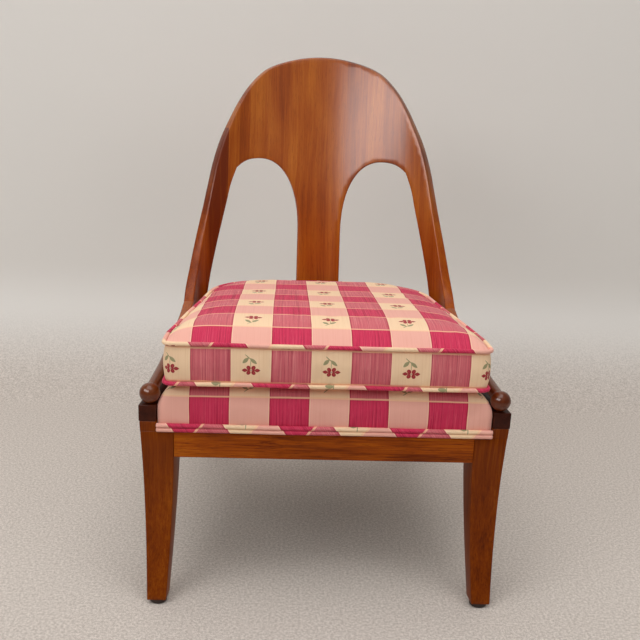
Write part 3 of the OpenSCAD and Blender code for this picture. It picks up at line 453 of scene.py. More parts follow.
def woven(name, low, high, pitch, rough):
    """Plain weave: two crossed sets of threads, for webbing, hessian and dust cloth"""
    m, net, shader = new_material(name, roughness=rough)
    x, y, _ = net.parts(net.place())
    weave = net.line(net.times(net.wave(x, pitch), net.wave(y, pitch)), 0.5, 0.5)
    net.put(shader.inputs["Base Color"], net.mix(net.times(weave, net.noise(net.place(), 300, 2)), low, high))
    net.put(shader.inputs["Normal"], net.bump(weave, 0.5, pitch / 4))
    return m


DARK, MID, LIGHT = linear(112, 42, 4), linear(158, 76, 10), linear(190, 110, 30)
# The back darkens towards its foot: painted shade where less light reaches between the wings and the cushion.
# The arms darken towards the ball
back_wood = wood("back_wood", DARK, MID, LIGHT, coat=1.0, rough=0.4, is_back=True,
                 darkening=(0.68, 0.46, (0.86, 0.7, 0.35, 1)))
arm_wood = wood("arm_wood", DARK, MID, LIGHT, coat=0.8, rough=0.4, gloss=0.1, polish=0.12,
                darkening=(0.32, 0.2, (0.38, 0.32, 0.5, 1)))
frame_wood = wood("frame_wood", linear(84, 28, 1), linear(124, 54, 2), linear(152, 78, 8), coat=0.15,
                  figure=0.7)
front_wood = wood("front_rail_wood", linear(104, 38, 1), linear(160, 74, 3), linear(188, 102, 12),
                  coat=0.15, pore=1.5, figure=1.1)
rail_wood = wood("rail_wood", linear(30, 8, 2), linear(54, 16, 4), linear(78, 30, 9), coat=0.1, gloss=0.12)
inner_wood = wood("inner_wood", linear(150, 108, 66), linear(190, 150, 102), linear(214, 178, 130),
                  coat=0.0, rough=0.6, along="x")
hidden_rail_wood = wood("hidden_rail_wood", linear(84, 34, 10), linear(130, 62, 22), linear(160, 88, 38),
                        along="x")
plug_wood = wood("plug_wood", linear(70, 30, 10), linear(110, 52, 20), linear(140, 74, 34), along="z")
check_cloth = cloth_material("check_cloth")
steel = plain("screw_steel", linear(150, 150, 152), linear(186, 186, 188), 900, 0.35, metal=1.0)
glide_brown = plain("glide_brown", linear(30, 18, 12), linear(52, 32, 22), 500, 0.45)
webbing = woven("jute_webbing", linear(120, 92, 56), linear(190, 156, 104), 0.0035, 0.9)
hessian = woven("jute_hessian", linear(110, 84, 50), linear(176, 142, 92), 0.0022, 0.95)
black_cloth = woven("black_cloth", linear(16, 16, 18), linear(46, 46, 48), 0.0012, 0.9)


# Making pieces
def world(p):
    return (p[0] * MM, p[1] * MM + FRONT, p[2] * MM)


def piece(name, points, faces, body, stands_for, material, grain=None, uvs=None, sharp=None,
          place=world):
    """A closed piece from points in millimetres; uvs holds one pair for each corner of each face"""
    mesh = bpy.data.meshes.new(name)
    mesh.from_pydata([place(p) for p in points], [], faces)
    if uvs is not None:
        layer = mesh.uv_layers.new(name="cloth")
        layer.data.foreach_set("uv", [c * MM for face in uvs for pair in face for c in pair])
    if grain is not None:
        mesh.attributes.new("grain", "FLOAT_VECTOR", "POINT")
        mesh.attributes["grain"].data.foreach_set("vector", [c * MM for g in grain for c in g])
    o = bpy.data.objects.new(name, mesh)
    scene.collection.objects.link(o)
    b = bmesh.new()
    b.from_mesh(mesh)
    bmesh.ops.recalc_face_normals(b, faces=b.faces)
    b.to_mesh(mesh)
    b.free()
    mesh.materials.append(material)
    mesh.shade_smooth()
    if sharp:
        mesh.set_sharp_from_angle(angle=math.radians(sharp))
    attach(o, body)
    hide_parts(*stands_for)
    return o


def numbers(points, count):
    """The numbers of the next points"""
    return list(range(len(points), len(points) + count))


def bridge(loops):
    """Faces between rings that have the same number of points"""
    n = len(loops[0])
    return [[low[k], low[(k + 1) % n], high[(k + 1) % n], high[k]]
            for low, high in zip(loops, loops[1:]) for k in range(n)]


def miters(outline):
    """For a closed anticlockwise outline: how far each point moves for each unit that its sides move in"""
    p = np.array(outline, float)
    e = np.roll(p, -1, 0) - p
    e /= np.linalg.norm(e, axis=1)[:, None]
    n = np.stack([-e[:, 1], e[:, 0]], 1)
    before = np.roll(n, 1, 0)
    return (n + before) / (1 + np.sum(n * before, 1))[:, None]


def mirrored(right):
    """A closed outline from its right half, whose two ends lie on the middle"""
    return np.concatenate([right, right[1:-1][::-1] * np.array([-1, 1])])


def inside(points, outline):
    a, b = outline, np.roll(outline, -1, 0)
    x, y = points[:, 0][:, None], points[:, 1][:, None]
    up = (a[:, 1] > y) != (b[:, 1] > y)
    with np.errstate(divide="ignore", invalid="ignore"):
        cross = x < (b[:, 0] - a[:, 0]) * (y - a[:, 1]) / (b[:, 1] - a[:, 1]) + a[:, 0]
    return np.sum(up & cross, 1) % 2 == 1


def distance(points, outline):
    a, d = outline, np.roll(outline, -1, 0) - outline
    best = np.full(len(points), np.inf)
    for i in range(len(a)):
        t = np.clip((points - a[i]) @ d[i] / (d[i] @ d[i]), 0, 1)
        best = np.minimum(best, np.linalg.norm(points - a[i] - t[:, None] * d[i], axis=1))
    return best


def fill(outline, step):
    """Points and triangles inside an outline: its own points first, then an even grid"""
    outline = np.array(outline, float)
    low, high = outline.min(0), outline.max(0)
    nx = max(int(round((high[0] - low[0]) / step)), 1)
    xs = (low[0] + high[0]) / 2 + (np.arange(nx + 1) - nx / 2) * (high[0] - low[0]) / nx
    ys = np.arange(low[1] + step / 2, high[1], step)
    grid = np.array([(x, y) for x in xs for y in ys])
    grid = grid[inside(grid, outline)]
    grid = grid[distance(grid, outline) > step * 0.55]
    points = np.concatenate([outline, grid])
    n = len(outline)
    found = geometry.delaunay_2d_cdt([Vector(p) for p in points], [(i, (i + 1) % n) for i in range(n)],
                                     [list(range(n))], 1, 1e-5)
    back = [ids[0] for ids in found[3]]
    triangles = []
    for f in found[2]:
        t = [back[i] for i in f]
        a, b, c = (points[i] for i in t)
        if (b[0] - a[0]) * (c[1] - a[1]) - (b[1] - a[1]) * (c[0] - a[0]) < 0:
            t.reverse()
        triangles.append(t)
    return points, triangles


# The back
def back_plan(q):
    """The outer face in plan, q round from the middle: its place and its normal"""
    if q <= CROWN_RUN:
        a = math.pi / 2 - q / CROWN_R
        return CROWN_R * math.cos(a), CROWN_Y - CROWN_R + CROWN_R * math.sin(a), math.cos(a), math.sin(a)
    if q <= CROWN_RUN + CORNER_RUN:
        a = TURN - (q - CROWN_RUN) / CORNER_R
        return CORNER_X + CORNER_R * math.cos(a), BACK_LINE + CORNER_R * math.sin(a), math.cos(a), math.sin(a)
    return HALF_W, BACK_LINE - (q - CROWN_RUN - CORNER_RUN), 1.0, 0.0


def back_point(q, z, off):
    x, y, nx, ny = back_plan(abs(q))
    side = -1 if q < 0 else 1
    return side * (x + off * nx), y + off * ny + LEAN * (z - RAIL_H), z


def back_thickness(q):
    return CREST_T + (STILE_T - CREST_T) * ramp(abs(q), CROWN_RUN * 0.6, CROWN_RUN)


def arch_edge(q):
    share = min(abs(q - SPLAT_EDGE - ARCH_HALF) / ARCH_HALF, 1)
    return RAIL_H + ARCH_H - ARCH_RISE + ARCH_RISE * (1 - share ** ARCH_POWER) ** (1 / ARCH_POWER)


def back_outline():
    """The back unrolled: places round and up it, each with the radius of its rounded edge"""
    arch_q, splat_low = SPLAT_EDGE + ARCH_HALF, RAIL_H - SPLAT_DROP
    arch_end, foot_q = HALF_GIRTH * REAR_EDGE[0][0], HALF_GIRTH * REAR_EDGE[-1][0]

    def height(table, q):
        return RAIL_H + BACK_H * curve(table, q / HALF_GIRTH)

    half = [(q, splat_low, JOINT_ROUND) for q in np.linspace(0, SPLAT_EDGE, 8)]
    half += [(SPLAT_EDGE, z, EDGE_ROUND) for z in np.linspace(splat_low, arch_edge(SPLAT_EDGE), 40)[1:]]
    half += [(q, arch_edge(q), EDGE_ROUND) for q in
             (SPLAT_EDGE + ARCH_HALF * (1 - math.cos(math.pi / 2 * k / 34)) for k in range(1, 35))]
    half += [(q, arch_edge(q), EDGE_ROUND) for q in np.linspace(arch_q, arch_end, 11)[1:]]
    half += [(q, height(REAR_EDGE, q), EDGE_ROUND) for q in np.linspace(arch_end, foot_q, 60)[1:]]
    half += [(q, RAIL_H, JOINT_ROUND) for q in np.linspace(foot_q, HALF_GIRTH, 13)[1:]]
    half += [(HALF_GIRTH, z, JOINT_ROUND) for z in np.linspace(RAIL_H, height(TOP_EDGE, HALF_GIRTH), 15)[1:]]
    half += [(q, height(TOP_EDGE, q), EDGE_ROUND) for q in np.linspace(HALF_GIRTH, 0, 90)[1:]]
    radius = np.array([r for _, _, r in half])
    radius = np.concatenate([radius, radius[1:-1][::-1]])
    for _ in range(3):
        radius = (np.roll(radius, 1) + radius + np.roll(radius, -1)) / 3
    return mirrored(np.array([(q, z) for q, z, _ in half])), radius


def make_back():
    outline, radius = back_outline()
    move = miters(outline)
    points, grain = [], []

    def ring(angle):
        return outline + move * (radius * (1 - math.cos(angle)))[:, None]

    def add(flat, offs):
        """Adds points off the back's outer face, and returns their numbers"""
        added = numbers(points, len(flat))
        for (q, z), off in zip(flat, offs):
            points.append(back_point(q, z, off))
            grain.append((q, off, z * 1.03))
        return added

    flat, triangles = fill(ring(math.pi / 2), BACK_GRID)
    n, m = len(outline), len(flat)
    loops = [add(flat, [0] * m)[:n]]
    inner = add(flat, [-back_thickness(q) for q, _ in flat])[:n]
    angles = [math.radians(a) for a in (60, 30, 0)]
    for a in angles:
        loops.append(add(ring(a), -radius * (1 - math.sin(a))))
    for a in reversed(angles):
        loops.append(add(ring(a), [r * (1 - math.sin(a)) - back_thickness(q)
                                   for (q, _), r in zip(ring(a), radius)]))
    loops.append(inner)
    faces = [list(reversed(t)) for t in triangles] + [[i + m for i in t] for t in triangles] + bridge(loops)
    o = piece("back", points, faces, "frame", ["back_shell"], back_wood, grain=grain, sharp=42)
    # The edge darkening starts above the arms and is weaker on the left: partly the stained edge, partly
    # painted shade on the right, which faces away from the light
    on_edge = {i for loop in loops[1:-1] for i in loop}
    o.data.attributes.new("edge_stain_and_shade", "FLOAT", "POINT")
    o.data.attributes["edge_stain_and_shade"].data.foreach_set(
        "value", [ramp(z, 560, 700) * (0.3 + 0.7 * ramp(x, -60, 60)) if i in on_edge else 0.0
                  for i, (x, _, z) in enumerate(points)])


make_back()

# The arms
ARM_START = BACK_LINE - STILE_LAP
ARM_RUN, ARM_OUT = ARM_START - BALL_Y, BALL_X + ARM_W / 2 - HALF_W
MELT = 4.0


def rounded_box(hx, hz, r, steps=7):
    """Points round a rectangle with rounded corners, anticlockwise, with three more up each side"""
    out = []
    for sx, sz, start in ((1, 1, 0), (-1, 1, 90), (-1, -1, 180), (1, -1, 270)):
        cx, cz = sx * (hx - r), sz * (hz - r)
        for k in range(steps + 1):
            a = math.radians(start + 90 * k / steps)
            out.append((cx + r * math.cos(a), cz + r * math.sin(a)))
        if sx != sz:
            out += [(sx * hx, cz * (1 - 2 * share)) for share in (0.25, 0.5, 0.75)]
    return out


def arm_places():
    """Where an arm's sections lie, from the stile to the front of the ball"""
    shares = list(np.linspace(-0.03, 0, 3)) + list(np.linspace(0, 0.3, 25)[1:])
    shares += list(np.linspace(0.3, 0.88, 26)[1:])
    ys = [ARM_START - ARM_RUN * share for share in shares]
    ys += list(np.linspace(ys[-1], BALL_Y + BALL_R, 8)[1:-1])
    ys += [BALL_Y + BALL_R * math.cos(math.radians(a)) for a in np.linspace(0, 180, 23)[1:-1]]
    ys += [BALL_Y + BALL_R * share for share in (1.12, 1.05)]
    return sorted(set(round(y, 4) for y in ys), reverse=True)


def arm_section(t):
    """At a share of the run: the section's middle, half width, half height and corner radius"""
    high, low = (RAIL_H + BACK_H * curve(ARM, t, column) for column in (1, 2))
    proud = FIT * (1 - ramp(t, 0, 0.1))
    thick = STILE_T + (ARM_W - STILE_T) * ramp(t, 0, 0.5) + 2 * proud
    mid_x = HALF_W + ARM_OUT * curve(ARM, t, 3) - thick / 2 + proud
    hx, hz = thick / 2, (high - low) / 2
    r = EDGE_ROUND + (min(hx, hz) - 0.3 - EDGE_ROUND) * ramp(t, 0, 0.5)
    return mid_x, (high + low) / 2, hx, hz, r


def make_arm(name, side, node):
    points, grain, loops = [], [], []
    for y in arm_places():
        t = max(min((ARM_START - y) / ARM_RUN, 1), 0)
        mid_x, mid_z, hx, hz, r = arm_section(t)
        lean = LEAN * (1 - ramp(t, 0, 0.25))
        ball = BALL_R ** 2 - (y - BALL_Y) ** 2
        ball_r = math.sqrt(max(ball, 0))
        near = ramp(y, BALL_Y + 2.4 * BALL_R, BALL_Y + 0.2 * BALL_R)
        fade = ramp(y, BALL_Y - 8, BALL_Y + 4)
        cx, cz = mid_x + (BALL_X - mid_x) * near, mid_z + (BALL_Z - mid_z) * near
        shape = rounded_box(hx, hz, r)
        loops.append(numbers(points, len(shape)))
        for dx, dz in shape:
            x, z = mid_x + dx, mid_z + dz
            if y < BALL_Y + 1.5 * BALL_R:
                # The arm melts into the ball
                d = math.hypot(x - cx, z - cz)
                arm_r = d * fade
                melt = max(MELT - abs(arm_r - ball_r), 0) / MELT if ball > 0 else 0
                reach = (max(arm_r, ball_r) + melt * melt * MELT / 4 * fade) / d
                x, z = cx + (x - cx) * reach, cz + (z - cz) * reach
            points.append((side * x, y + lean * (z - RAIL_H), z))
            grain.append((dx * 0.9 + 200 * side, dz, y * 1.05))
    piece(name, points, [loops[0], loops[-1]] + bridge(loops), "frame", [node], arm_wood,
          grain=grain, sharp=50)


make_arm("arm_right", 1, "right_arm")
make_arm("arm_left", -1, "left_arm")


# The legs
def leg_outer(z):
    return -LEAN_IN * (1 - z / RAIL_H) ** LEAN_POWER


def leg_inner(z):
    return -LEG_W + (-LEAN_IN - FOOT_W + LEG_W) * max(1 - z / RAIL_LOW, 0) ** TAPER_POWER


def leg_depth(z):
    return FOOT_D + (LEG_D - FOOT_D) * min(z / RAIL_LOW, 1) ** TAPER_POWER


def leg_sweep(z, reach):
    return reach * max((RAIL_LOW - z) / (RAIL_LOW - GLIDE_H), 0) ** SWEEP_POWER


def turned(x, y):
    """A place in the plan of the right side rail: x across it and y along it, from its front outer corner"""
    c, s = math.cos(SPLAY), math.sin(SPLAY)
    return WIDTH / 2 + x * c - y * s, x * s + y * c


def leg_corners(z, rear, inner=None):
    """The corners of a right-hand leg at a height, anticlockwise from the front inner one"""
    x0, x1 = (leg_inner(z) if inner is None else inner), leg_outer(z)
    if rear:
        y1 = BLOCK_Y + leg_sweep(z, REAR_SWEEP)
        y0 = y1 - leg_depth(z)
        return [turned(x, y) for x, y in ((x0, y0), (x1, y0), (x1, y1), (x0, y1))]
    y0 = -leg_sweep(z, FRONT_SWEEP)
    y1 = leg_depth(z) + y0
    return [(WIDTH / 2 + x / math.cos(SPLAY) - y * math.tan(SPLAY), y)
            for x, y in ((x0, y0), (x1, y0), (x1, y1), (x0, y1))]


def rounded_corners(corners, r, steps=4):
    """A convex outline with its corners rounded"""
    out = []
    n = len(corners)
    for i in range(n):
        p, a, b = (np.array(corners[k % n], float) for k in (i, i - 1, i + 1))
        u, w = (a - p) / np.linalg.norm(a - p), (b - p) / np.linalg.norm(b - p)
        half = math.acos(max(-1, min(1, u @ w))) / 2
        reach = r / math.tan(half)
        middle = p + (u + w) / np.linalg.norm(u + w) * r / math.sin(half)
        first, last = p + u * reach - middle, p + w * reach - middle
        a0, a1 = math.atan2(first[1], first[0]), math.atan2(last[1], last[0])
        if a1 < a0:
            a1 += 2 * math.pi
        out += [tuple(middle + r * np.array((math.cos(t), math.sin(t))))
                for t in np.linspace(a0, a1, steps + 1)]
    return out


def make_leg(name, side, rear, node):
    points, grain, loops = [], [], []
    # Each leg is cut from its own place in the wood
    cut = 1.7 * side + (0.9 if rear else 0.2)

    def ring(z, inner=None, r=LEG_ROUND, inset=0.0):
        corners = [np.array(c) for c in leg_corners(z, rear, inner)]
        if inset:
            mid = np.mean(corners, 0)
            corners = [c + (mid - c) / np.linalg.norm(mid - c) * inset * 1.41 for c in corners]
        shape = rounded_corners(corners, r)
        loops.append(numbers(points, len(shape)))
        for x, y in shape:
            points.append((side * x, y, z))
            grain.append((side * (x - WIDTH / 2) + 90 * cut, y + 60 * cut, z + 300 * cut))

    ring(GLIDE_H, r=FOOT_ROUND, inset=1.2)
    ring(GLIDE_H + 0.5, r=1.6, inset=0.5)
    for z in [*np.linspace(GLIDE_H + 1.6, RAIL_LOW, 46), SEAT_H - 24, SEAT_H - 1.2]:
        ring(z)
    ring(SEAT_H - 0.4, inset=0.35)
    ring(SEAT_H, inset=1.0)
    # The ledge: the inner half stops here and the outer half goes on under the rail's tongue
    for z, inset in ((SEAT_H, 0.0), (TONGUE_LOW - 0.8, 0.0), (TONGUE_LOW, 0.6)):
        ring(z, inner=-RAIL_T, r=FOOT_ROUND, inset=inset)
    faces = [list(reversed(loops[0])), loops[-1]] + bridge(loops)
    piece(name, points, faces, "frame", [node], frame_wood, grain=grain, sharp=40)


for end, rear in (("front", False), ("rear", True)):
    make_leg(f"leg_{end}_right", 1, rear, f"{end}_leg_right")
    make_leg(f"leg_{end}_left", -1, rear, f"{end}_leg_left")


# The rails
def bevelled(name, points, faces, node, material, grain_of, width):
    """A piece whose sharp edges are rounded off"""
    mesh = bpy.data.meshes.new(name + "_blank")
    mesh.from_pydata(points, [], faces)
    b = bmesh.new()
    b.from_mesh(mesh)
    bmesh.ops.recalc_face_normals(b, faces=b.faces)
    sharp = [e for e in b.edges if e.calc_face_angle(0) > math.radians(20)]
    bmesh.ops.bevel(b, geom=sharp, offset=width, segments=3, profile=0.5, affect="EDGES", clamp_overlap=True)
    b.verts.index_update()
    corners = [tuple(v.co) for v in b.verts]
    rims = [[v.index for v in f.verts] for f in b.faces]
    b.free()
    bpy.data.meshes.remove(mesh)
    piece(name, corners, rims, "frame", [node], material,
          grain=[grain_of(p) for p in corners], sharp=35)


def beside(depth, y):
    """How far out the side rail or leg, of a given thickness, leaves room at y"""
    return WIDTH / 2 - depth / math.cos(SPLAY) - y * math.tan(SPLAY)


def make_front_rail():
    y0, y1 = FRONT_RAIL_IN, FRONT_RAIL_IN + FRONT_RAIL_T
    x0, x1 = (beside(LEG_W, y) - JOINT_GAP for y in (y0, y1))
    plan = [(-x0, y0), (x0, y0), (x1, y1), (-x1, y1)]
    points = [(x, y, z) for z in (RAIL_LOW, SEAT_H) for x, y in plan]
    low, high = list(range(4)), list(range(4, 8))
    bevelled("rail_front", points, [low[::-1], high] + bridge([low, high]), "front_rail",
             front_wood, lambda p: (p[1] + 500, p[2], p[0]), 1.4)


def make_side_rail(name, side, node):
    low, tongue = RAIL_H - RAIL_D, TONGUE_LOW + JOINT_GAP

    def on_plane(x, y):
        """A point where a plane across the chair cuts the rail"""
        return turned(x, (y - x * math.sin(SPLAY)) / math.cos(SPLAY))

    points = []
    for x in (0.0, -RAIL_T):
        front, step = on_plane(x, 0), on_plane(x, LEG_D + JOINT_GAP)
        block, end = turned(x, BLOCK_Y - LEG_D - JOINT_GAP), turned(x, BLOCK_Y)
        for (px, py), z in ((step, low), (step, tongue), (front, tongue), (front, RAIL_H), (end, RAIL_H),
                            (end, tongue), (block, tongue), (block, low)):
            points.append((side * px, py, z))
    outer, inner = list(range(8)), list(range(8, 16))
    bevelled(name, points, [outer, inner[::-1]] + bridge([outer, inner]), node, rail_wood,
             lambda p: (p[0] + 700 * side, p[2], p[1]), 1.2)


make_front_rail()
make_side_rail("rail_side_right", 1, "side_rail_right")
make_side_rail("rail_side_left", -1, "side_rail_left")


# Soft pieces
def coordinates(mesh):
    found = np.empty(len(mesh.vertices) * 3)
    mesh.vertices.foreach_get("co", found)
    return found.reshape(-1, 3)


def simulate(o, pinned, pressure, shrink, frames):
    """Cloth under pressure with some points held; returns where its points end up"""
    pins = o.vertex_groups.new(name="pins")
    pins.add([int(i) for i in pinned], 1.0, "REPLACE")
    mod = o.modifiers.new("cloth", "CLOTH")
    for key, value in (("quality", 6), ("mass", 0.25), ("air_damping", 4), ("bending_stiffness", 3),
                       ("tension_stiffness", 22), ("compression_stiffness", 22), ("shear_stiffness", 12),
                       ("vertex_group_mass", "pins"), ("use_pressure", True),
                       ("uniform_pressure_force", pressure), ("shrink_min", shrink)):
        setattr(mod.settings, key, value)
    mod.settings.effector_weights.gravity = 0
    mod.point_cache.frame_start, mod.point_cache.frame_end = 1, frames
    for f in range(1, frames + 1):
        scene.frame_set(f)
    found = coordinates(o.evaluated_get(bpy.context.evaluated_depsgraph_get()).data)
    o.modifiers.remove(mod)
    o.vertex_groups.remove(pins)
    scene.frame_set(1)
    return found


def neighbour_mean(values, pairs):
    """For each point, the mean of what its neighbours have"""
    total = np.zeros_like(values)
    np.add.at(total, pairs[:, 0], values[pairs[:, 1]])
    np.add.at(total, pairs[:, 1], values[pairs[:, 0]])
    return (total.T / np.bincount(pairs.ravel())).T


def settle(o, pinned, wanted, pressure, fold_cap, swell_cap, shrink):
    """Runs the cloth, then keeps its folds, and as much of its swelling as is wanted, up to their caps"""
    rest = coordinates(o.data)
    moved = simulate(o, pinned, pressure, shrink, frames=20) - rest
    pairs = np.array([e.vertices[:] for e in o.data.edges])
    held = np.array(sorted(pinned))
    broad = moved
    for _ in range(12):
        broad = neighbour_mean(broad, pairs)
        broad[held] = moved[held]
    folds = moved - broad
    folds *= np.minimum(1, fold_cap * MM / (np.linalg.norm(folds, axis=1)[:, None] + 1e-12))
    most = max(np.linalg.norm(broad, axis=1).max(), 1e-9)
    final = rest + broad * (swell_cap * MM / most) * wanted[:, None] + folds
    o.data.vertices.foreach_set("co", final.astype(np.float32).ravel())
    o.data.update()


def subdivide(o):
    o.modifiers.new("smooth", "SUBSURF").levels = 1
    bpy.context.view_layer.update()
    dg = bpy.context.evaluated_depsgraph_get()
    mesh = bpy.data.meshes.new_from_object(o.evaluated_get(dg), preserve_all_data_layers=True, depsgraph=dg)
    o.modifiers.clear()
    old, o.data = o.data, mesh
    bpy.data.meshes.remove(old)
    mesh.shade_smooth()


def runs(path):
    """How far along a closed path each point lies from the first, with the whole girth last"""
    return np.concatenate([[0], np.cumsum(np.linalg.norm(np.roll(path, -1, 0) - path, axis=1))])


def runs_round(outline):
    """Where each side of an outline starts and ends, counted both ways round from its first point"""
    s = runs(outline)
    n = len(outline)
    start = np.where(np.arange(n) <= n // 2, s[:-1], s[:-1] - s[-1])
    return start, start + np.diff(s)


def resample(points, count):
    p = np.array(points, float)
    s = np.concatenate([[0], np.cumsum(np.linalg.norm(np.diff(p, axis=0), axis=1))])
    t = np.linspace(0, s[-1], count)
    return np.stack([np.interp(t, s, p[:, 0]), np.interp(t, s, p[:, 1])], 1)


# The loose cushion
def cushion_place(p):
    """From the cushion's own frame, which slopes back with the deck that it lies on"""
    x, y, z = p[0], p[1] - CUSHION_PROUD, p[2]
    c, s = math.cos(-SLOPE), math.sin(-SLOPE)
    return world((x, y * c - z * s, y * s + z * c + DECK_TOP + SOFT_GAP))


def cushion_outline():
    """Evenly spaced: the right half from the front middle round to the back middle, then the left half"""
    w, r, b = CUSHION_W, CUSHION_R, BACK_CORNER_R
    cy = CUSHION_D - b
    cx = w - (cy - SHOULDER) * math.tan(CUSHION_SPLAY) - b / math.cos(CUSHION_SPLAY)
    half = [(0, 0)]
    half += [(w - r + r * math.cos(a), r + r * math.sin(a)) for a in np.linspace(-math.pi / 2, 0, 13)]
    half += [(w, SHOULDER - EASE), (w - EASE_IN, SHOULDER),
             (w - EASE * math.tan(CUSHION_SPLAY) - EASE_IN, SHOULDER + EASE)]
    half += [(cx + b * math.cos(a), cy + b * math.sin(a))
             for a in np.linspace(CUSHION_SPLAY, math.pi / 2, 33)]
    half += [(0, CUSHION_D)]
    return mirrored(resample(half, CUSHION_POINTS))


def cushion_rise(flat, triangles, n):
    """How far the top swells over its seam, whose points are the first n: a plateau that falls to the seam"""
    pairs = np.array(sorted({tuple(sorted((t[i], t[(i + 1) % 3]))) for t in triangles for i in range(3)}))
    aim = np.interp(flat[:, 1], CROWN_AT, CROWN_H)
    pull = np.interp(flat[:, 1], FALL_AT, [CUSHION_GRID ** 2 / (4 * fall ** 2) for fall in FALL])
    rise = aim * 0.8
    rise[:n] = 0
    for _ in range(500):
        rise = (neighbour_mean(rise, pairs) + pull * aim) / (1 + pull)
        rise[:n] = 0
    return rise


def make_cushion(outline):
    n, rows = len(outline), BOXING_ROWS
    move = miters(outline)
    seam = outline + move * SEAM_IN
    flat, triangles = fill(seam, CUSHION_GRID)
    m = len(flat)
    depth = distance(flat, seam)
    rise = cushion_rise(flat, triangles, n)
    top = [(x, y, SEAM_TOP + h + LIP * (1 - math.exp(-d / LIP_RUN)))
           for (x, y), h, d in zip(flat, rise, depth)]
    points = [(x, y, SEAM_TOP) for x, y in seam] + top[n:]
    # The underside is flat where it lies on the deck
    under = [UNDERSIDE + (SEAM_LOW - UNDERSIDE) * math.exp(-d / UNDERSIDE_RUN) for d in depth]
    under[:n] = [SEAM_LOW] * n
    points += [(x, y, z) for (x, y), z in zip(flat, under)]
    loops = [list(range(m, m + n))]
    for k in range(1, rows):
        loops.append(numbers(points, n))
        bulge = SEAM_IN - BULGE * math.sin(math.pi * k / rows) ** BULGE_POWER
        points += [(x, y, SEAM_LOW + BOXING * k / rows) for x, y in outline + move * bulge]
    loops.append(list(range(n)))
    # The cloth's own coordinates: the top's rows start at the front seam, the boxing's row is centred
    profile_y = np.linspace(SEAM_IN, CUSHION_D - SEAM_IN, 400)
    middle = [np.argmin(np.hypot(flat[:, 0], flat[:, 1] - y)) for y in profile_y]
    heights = np.interp(profile_y, [flat[i][1] for i in middle], [top[i][2] for i in middle])
    lengths = np.concatenate([[0], np.cumsum(np.hypot(np.diff(profile_y), np.diff(heights)))])

    def top_cloth(x, y):
        """The columns close up a little towards the back"""
        eased = x * (1 + COLUMN_EASE * (max(y, 0) / COLUMN_EASE_RUN) ** 1.5)
        return eased, TOP_ROWS_AT - np.interp(y, profile_y, lengths)

    faces = [list(t) for t in triangles] + [[m + i for i in reversed(t)] for t in triangles] + bridge(loops)
    uvs = [[top_cloth(*flat[i]) for i in t] for t in triangles]
    uvs += [[(flat[i][0], flat[i][1] + UNDER_ROWS_AT) for i in reversed(t)] for t in triangles]
    for k in range(rows):
        v0, v1 = (BOXING * BOXING_EASE * (t / rows - 0.5) + DARK_ROW + LIGHT_ROW / 2 for t in (k, k + 1))
        uvs += [[(u0, v0), (u1, v0), (u1, v1), (u0, v1)] for u0, u1 in zip(*runs_round(outline))]
    o = piece("cushion", points, faces, "cushion",
              ["cushion_core", "cushion_top_panel", "cushion_boxing", "cushion_bottom_panel"], check_cloth,
              uvs=uvs, place=cushion_place)
    held = set(range(n)) | set(range(m, 2 * m))
    settle(o, held, np.ones(len(points)), pressure=4.0, fold_cap=1.2, swell_cap=1.5, shrink=-0.006)
    subdivide(o)


# Piping and welts
def tube(name, path, radius, node, body, closed, place, middle, column_at, row_at, around=0.0, sides=14):
    """A cord along a path, in cloth cut on the bias, so that the cloth's lines cross it. Distances run from
    the path's middle point; a light column ends at column_at and a light row at row_at"""
    p = np.array(path, float)
    n = len(p)
    ahead = np.roll(p, -1, 0) - np.roll(p, 1, 0)
    if not closed:
        ahead[0], ahead[-1] = p[1] - p[0], p[-1] - p[-2]
    ahead /= np.linalg.norm(ahead, axis=1)[:, None]
    out = np.cross(ahead, np.array((0, 0, 1.0)))
    out /= np.linalg.norm(out, axis=1)[:, None]
    lift = np.cross(out, ahead)
    s = runs(p)
    s -= s[middle]

    def cloth(at, w):
        w = w * CORD_PULL * radius
        return ((at - column_at) * BIAS + w * BIAS + CREAM_AT + COLUMN / 2,
                (at - row_at) * CORD_ROW_ALONG - w * CORD_ROW_ACROSS)

    points, loops = [], []
    for i in range(n):
        loops.append(numbers(points, sides))
        for k in range(sides):
            w = 2 * math.pi * (k / sides - 0.5)
            r = radius * (1 + 0.018 * math.sin(s[i] / 23.0 + k) + 0.012 * math.sin(s[i] / 9.7 + 2 * k))
            points.append(tuple(p[i] + out[i] * r * math.cos(w) + lift[i] * r * math.sin(w)))
    stretches = n if closed else n - 1
    faces, uvs = bridge((loops + loops[:1])[:stretches + 1]), []
    for i in range(stretches):
        for k in range(sides):
            w0, w1 = (2 * math.pi * (t / sides - 0.5) + around for t in (k, k + 1))
            uvs.append([cloth(s[i], w0), cloth(s[i], w1), cloth(s[i + 1], w1), cloth(s[i + 1], w0)])
    for ring, tip in () if closed else ((0, -1), (n - 1, 1)):
        rims = [loops[ring]]
        for scale, push in ((0.8, 0.22), (0.45, 0.32)):
            rims.append(numbers(points, sides))
            for k in loops[ring]:
                points.append(tuple(p[ring] + (np.array(points[k]) - p[ring]) * scale
                                    + ahead[ring] * tip * radius * push))
        points.append(tuple(p[ring] + ahead[ring] * tip * radius * 0.35))
        ends = bridge(rims) + [[rims[2][k], rims[2][(k + 1) % sides], len(points) - 1] for k in range(sides)]
        faces += ends
        uvs += [[cloth(s[ring], 0)] * len(face) for face in ends]
    piece(name, points, faces, body, [node], check_cloth, uvs=uvs, place=place)


def make_piping(outline):
    centre = outline + miters(outline) * PIPING_R
    half = len(centre) // 2
    for end, z, column_at, row_at in (("top", SEAM_TOP, -39.7, -3.1), ("bottom", SEAM_LOW, 61.5, 32.0)):
        path = [(x + 0.25 * math.sin(i / 5.3), y + 0.25 * math.sin(i / 7.1 + 1),
                 z + 0.3 * math.sin(i / 6.2 + row_at)) for i, (x, y) in enumerate(centre)]
        tube(f"piping_{end}", np.roll(path, half, 0), PIPING_R, f"cushion_piping_{end}", "cushion", True,
             cushion_place, half, column_at, row_at)


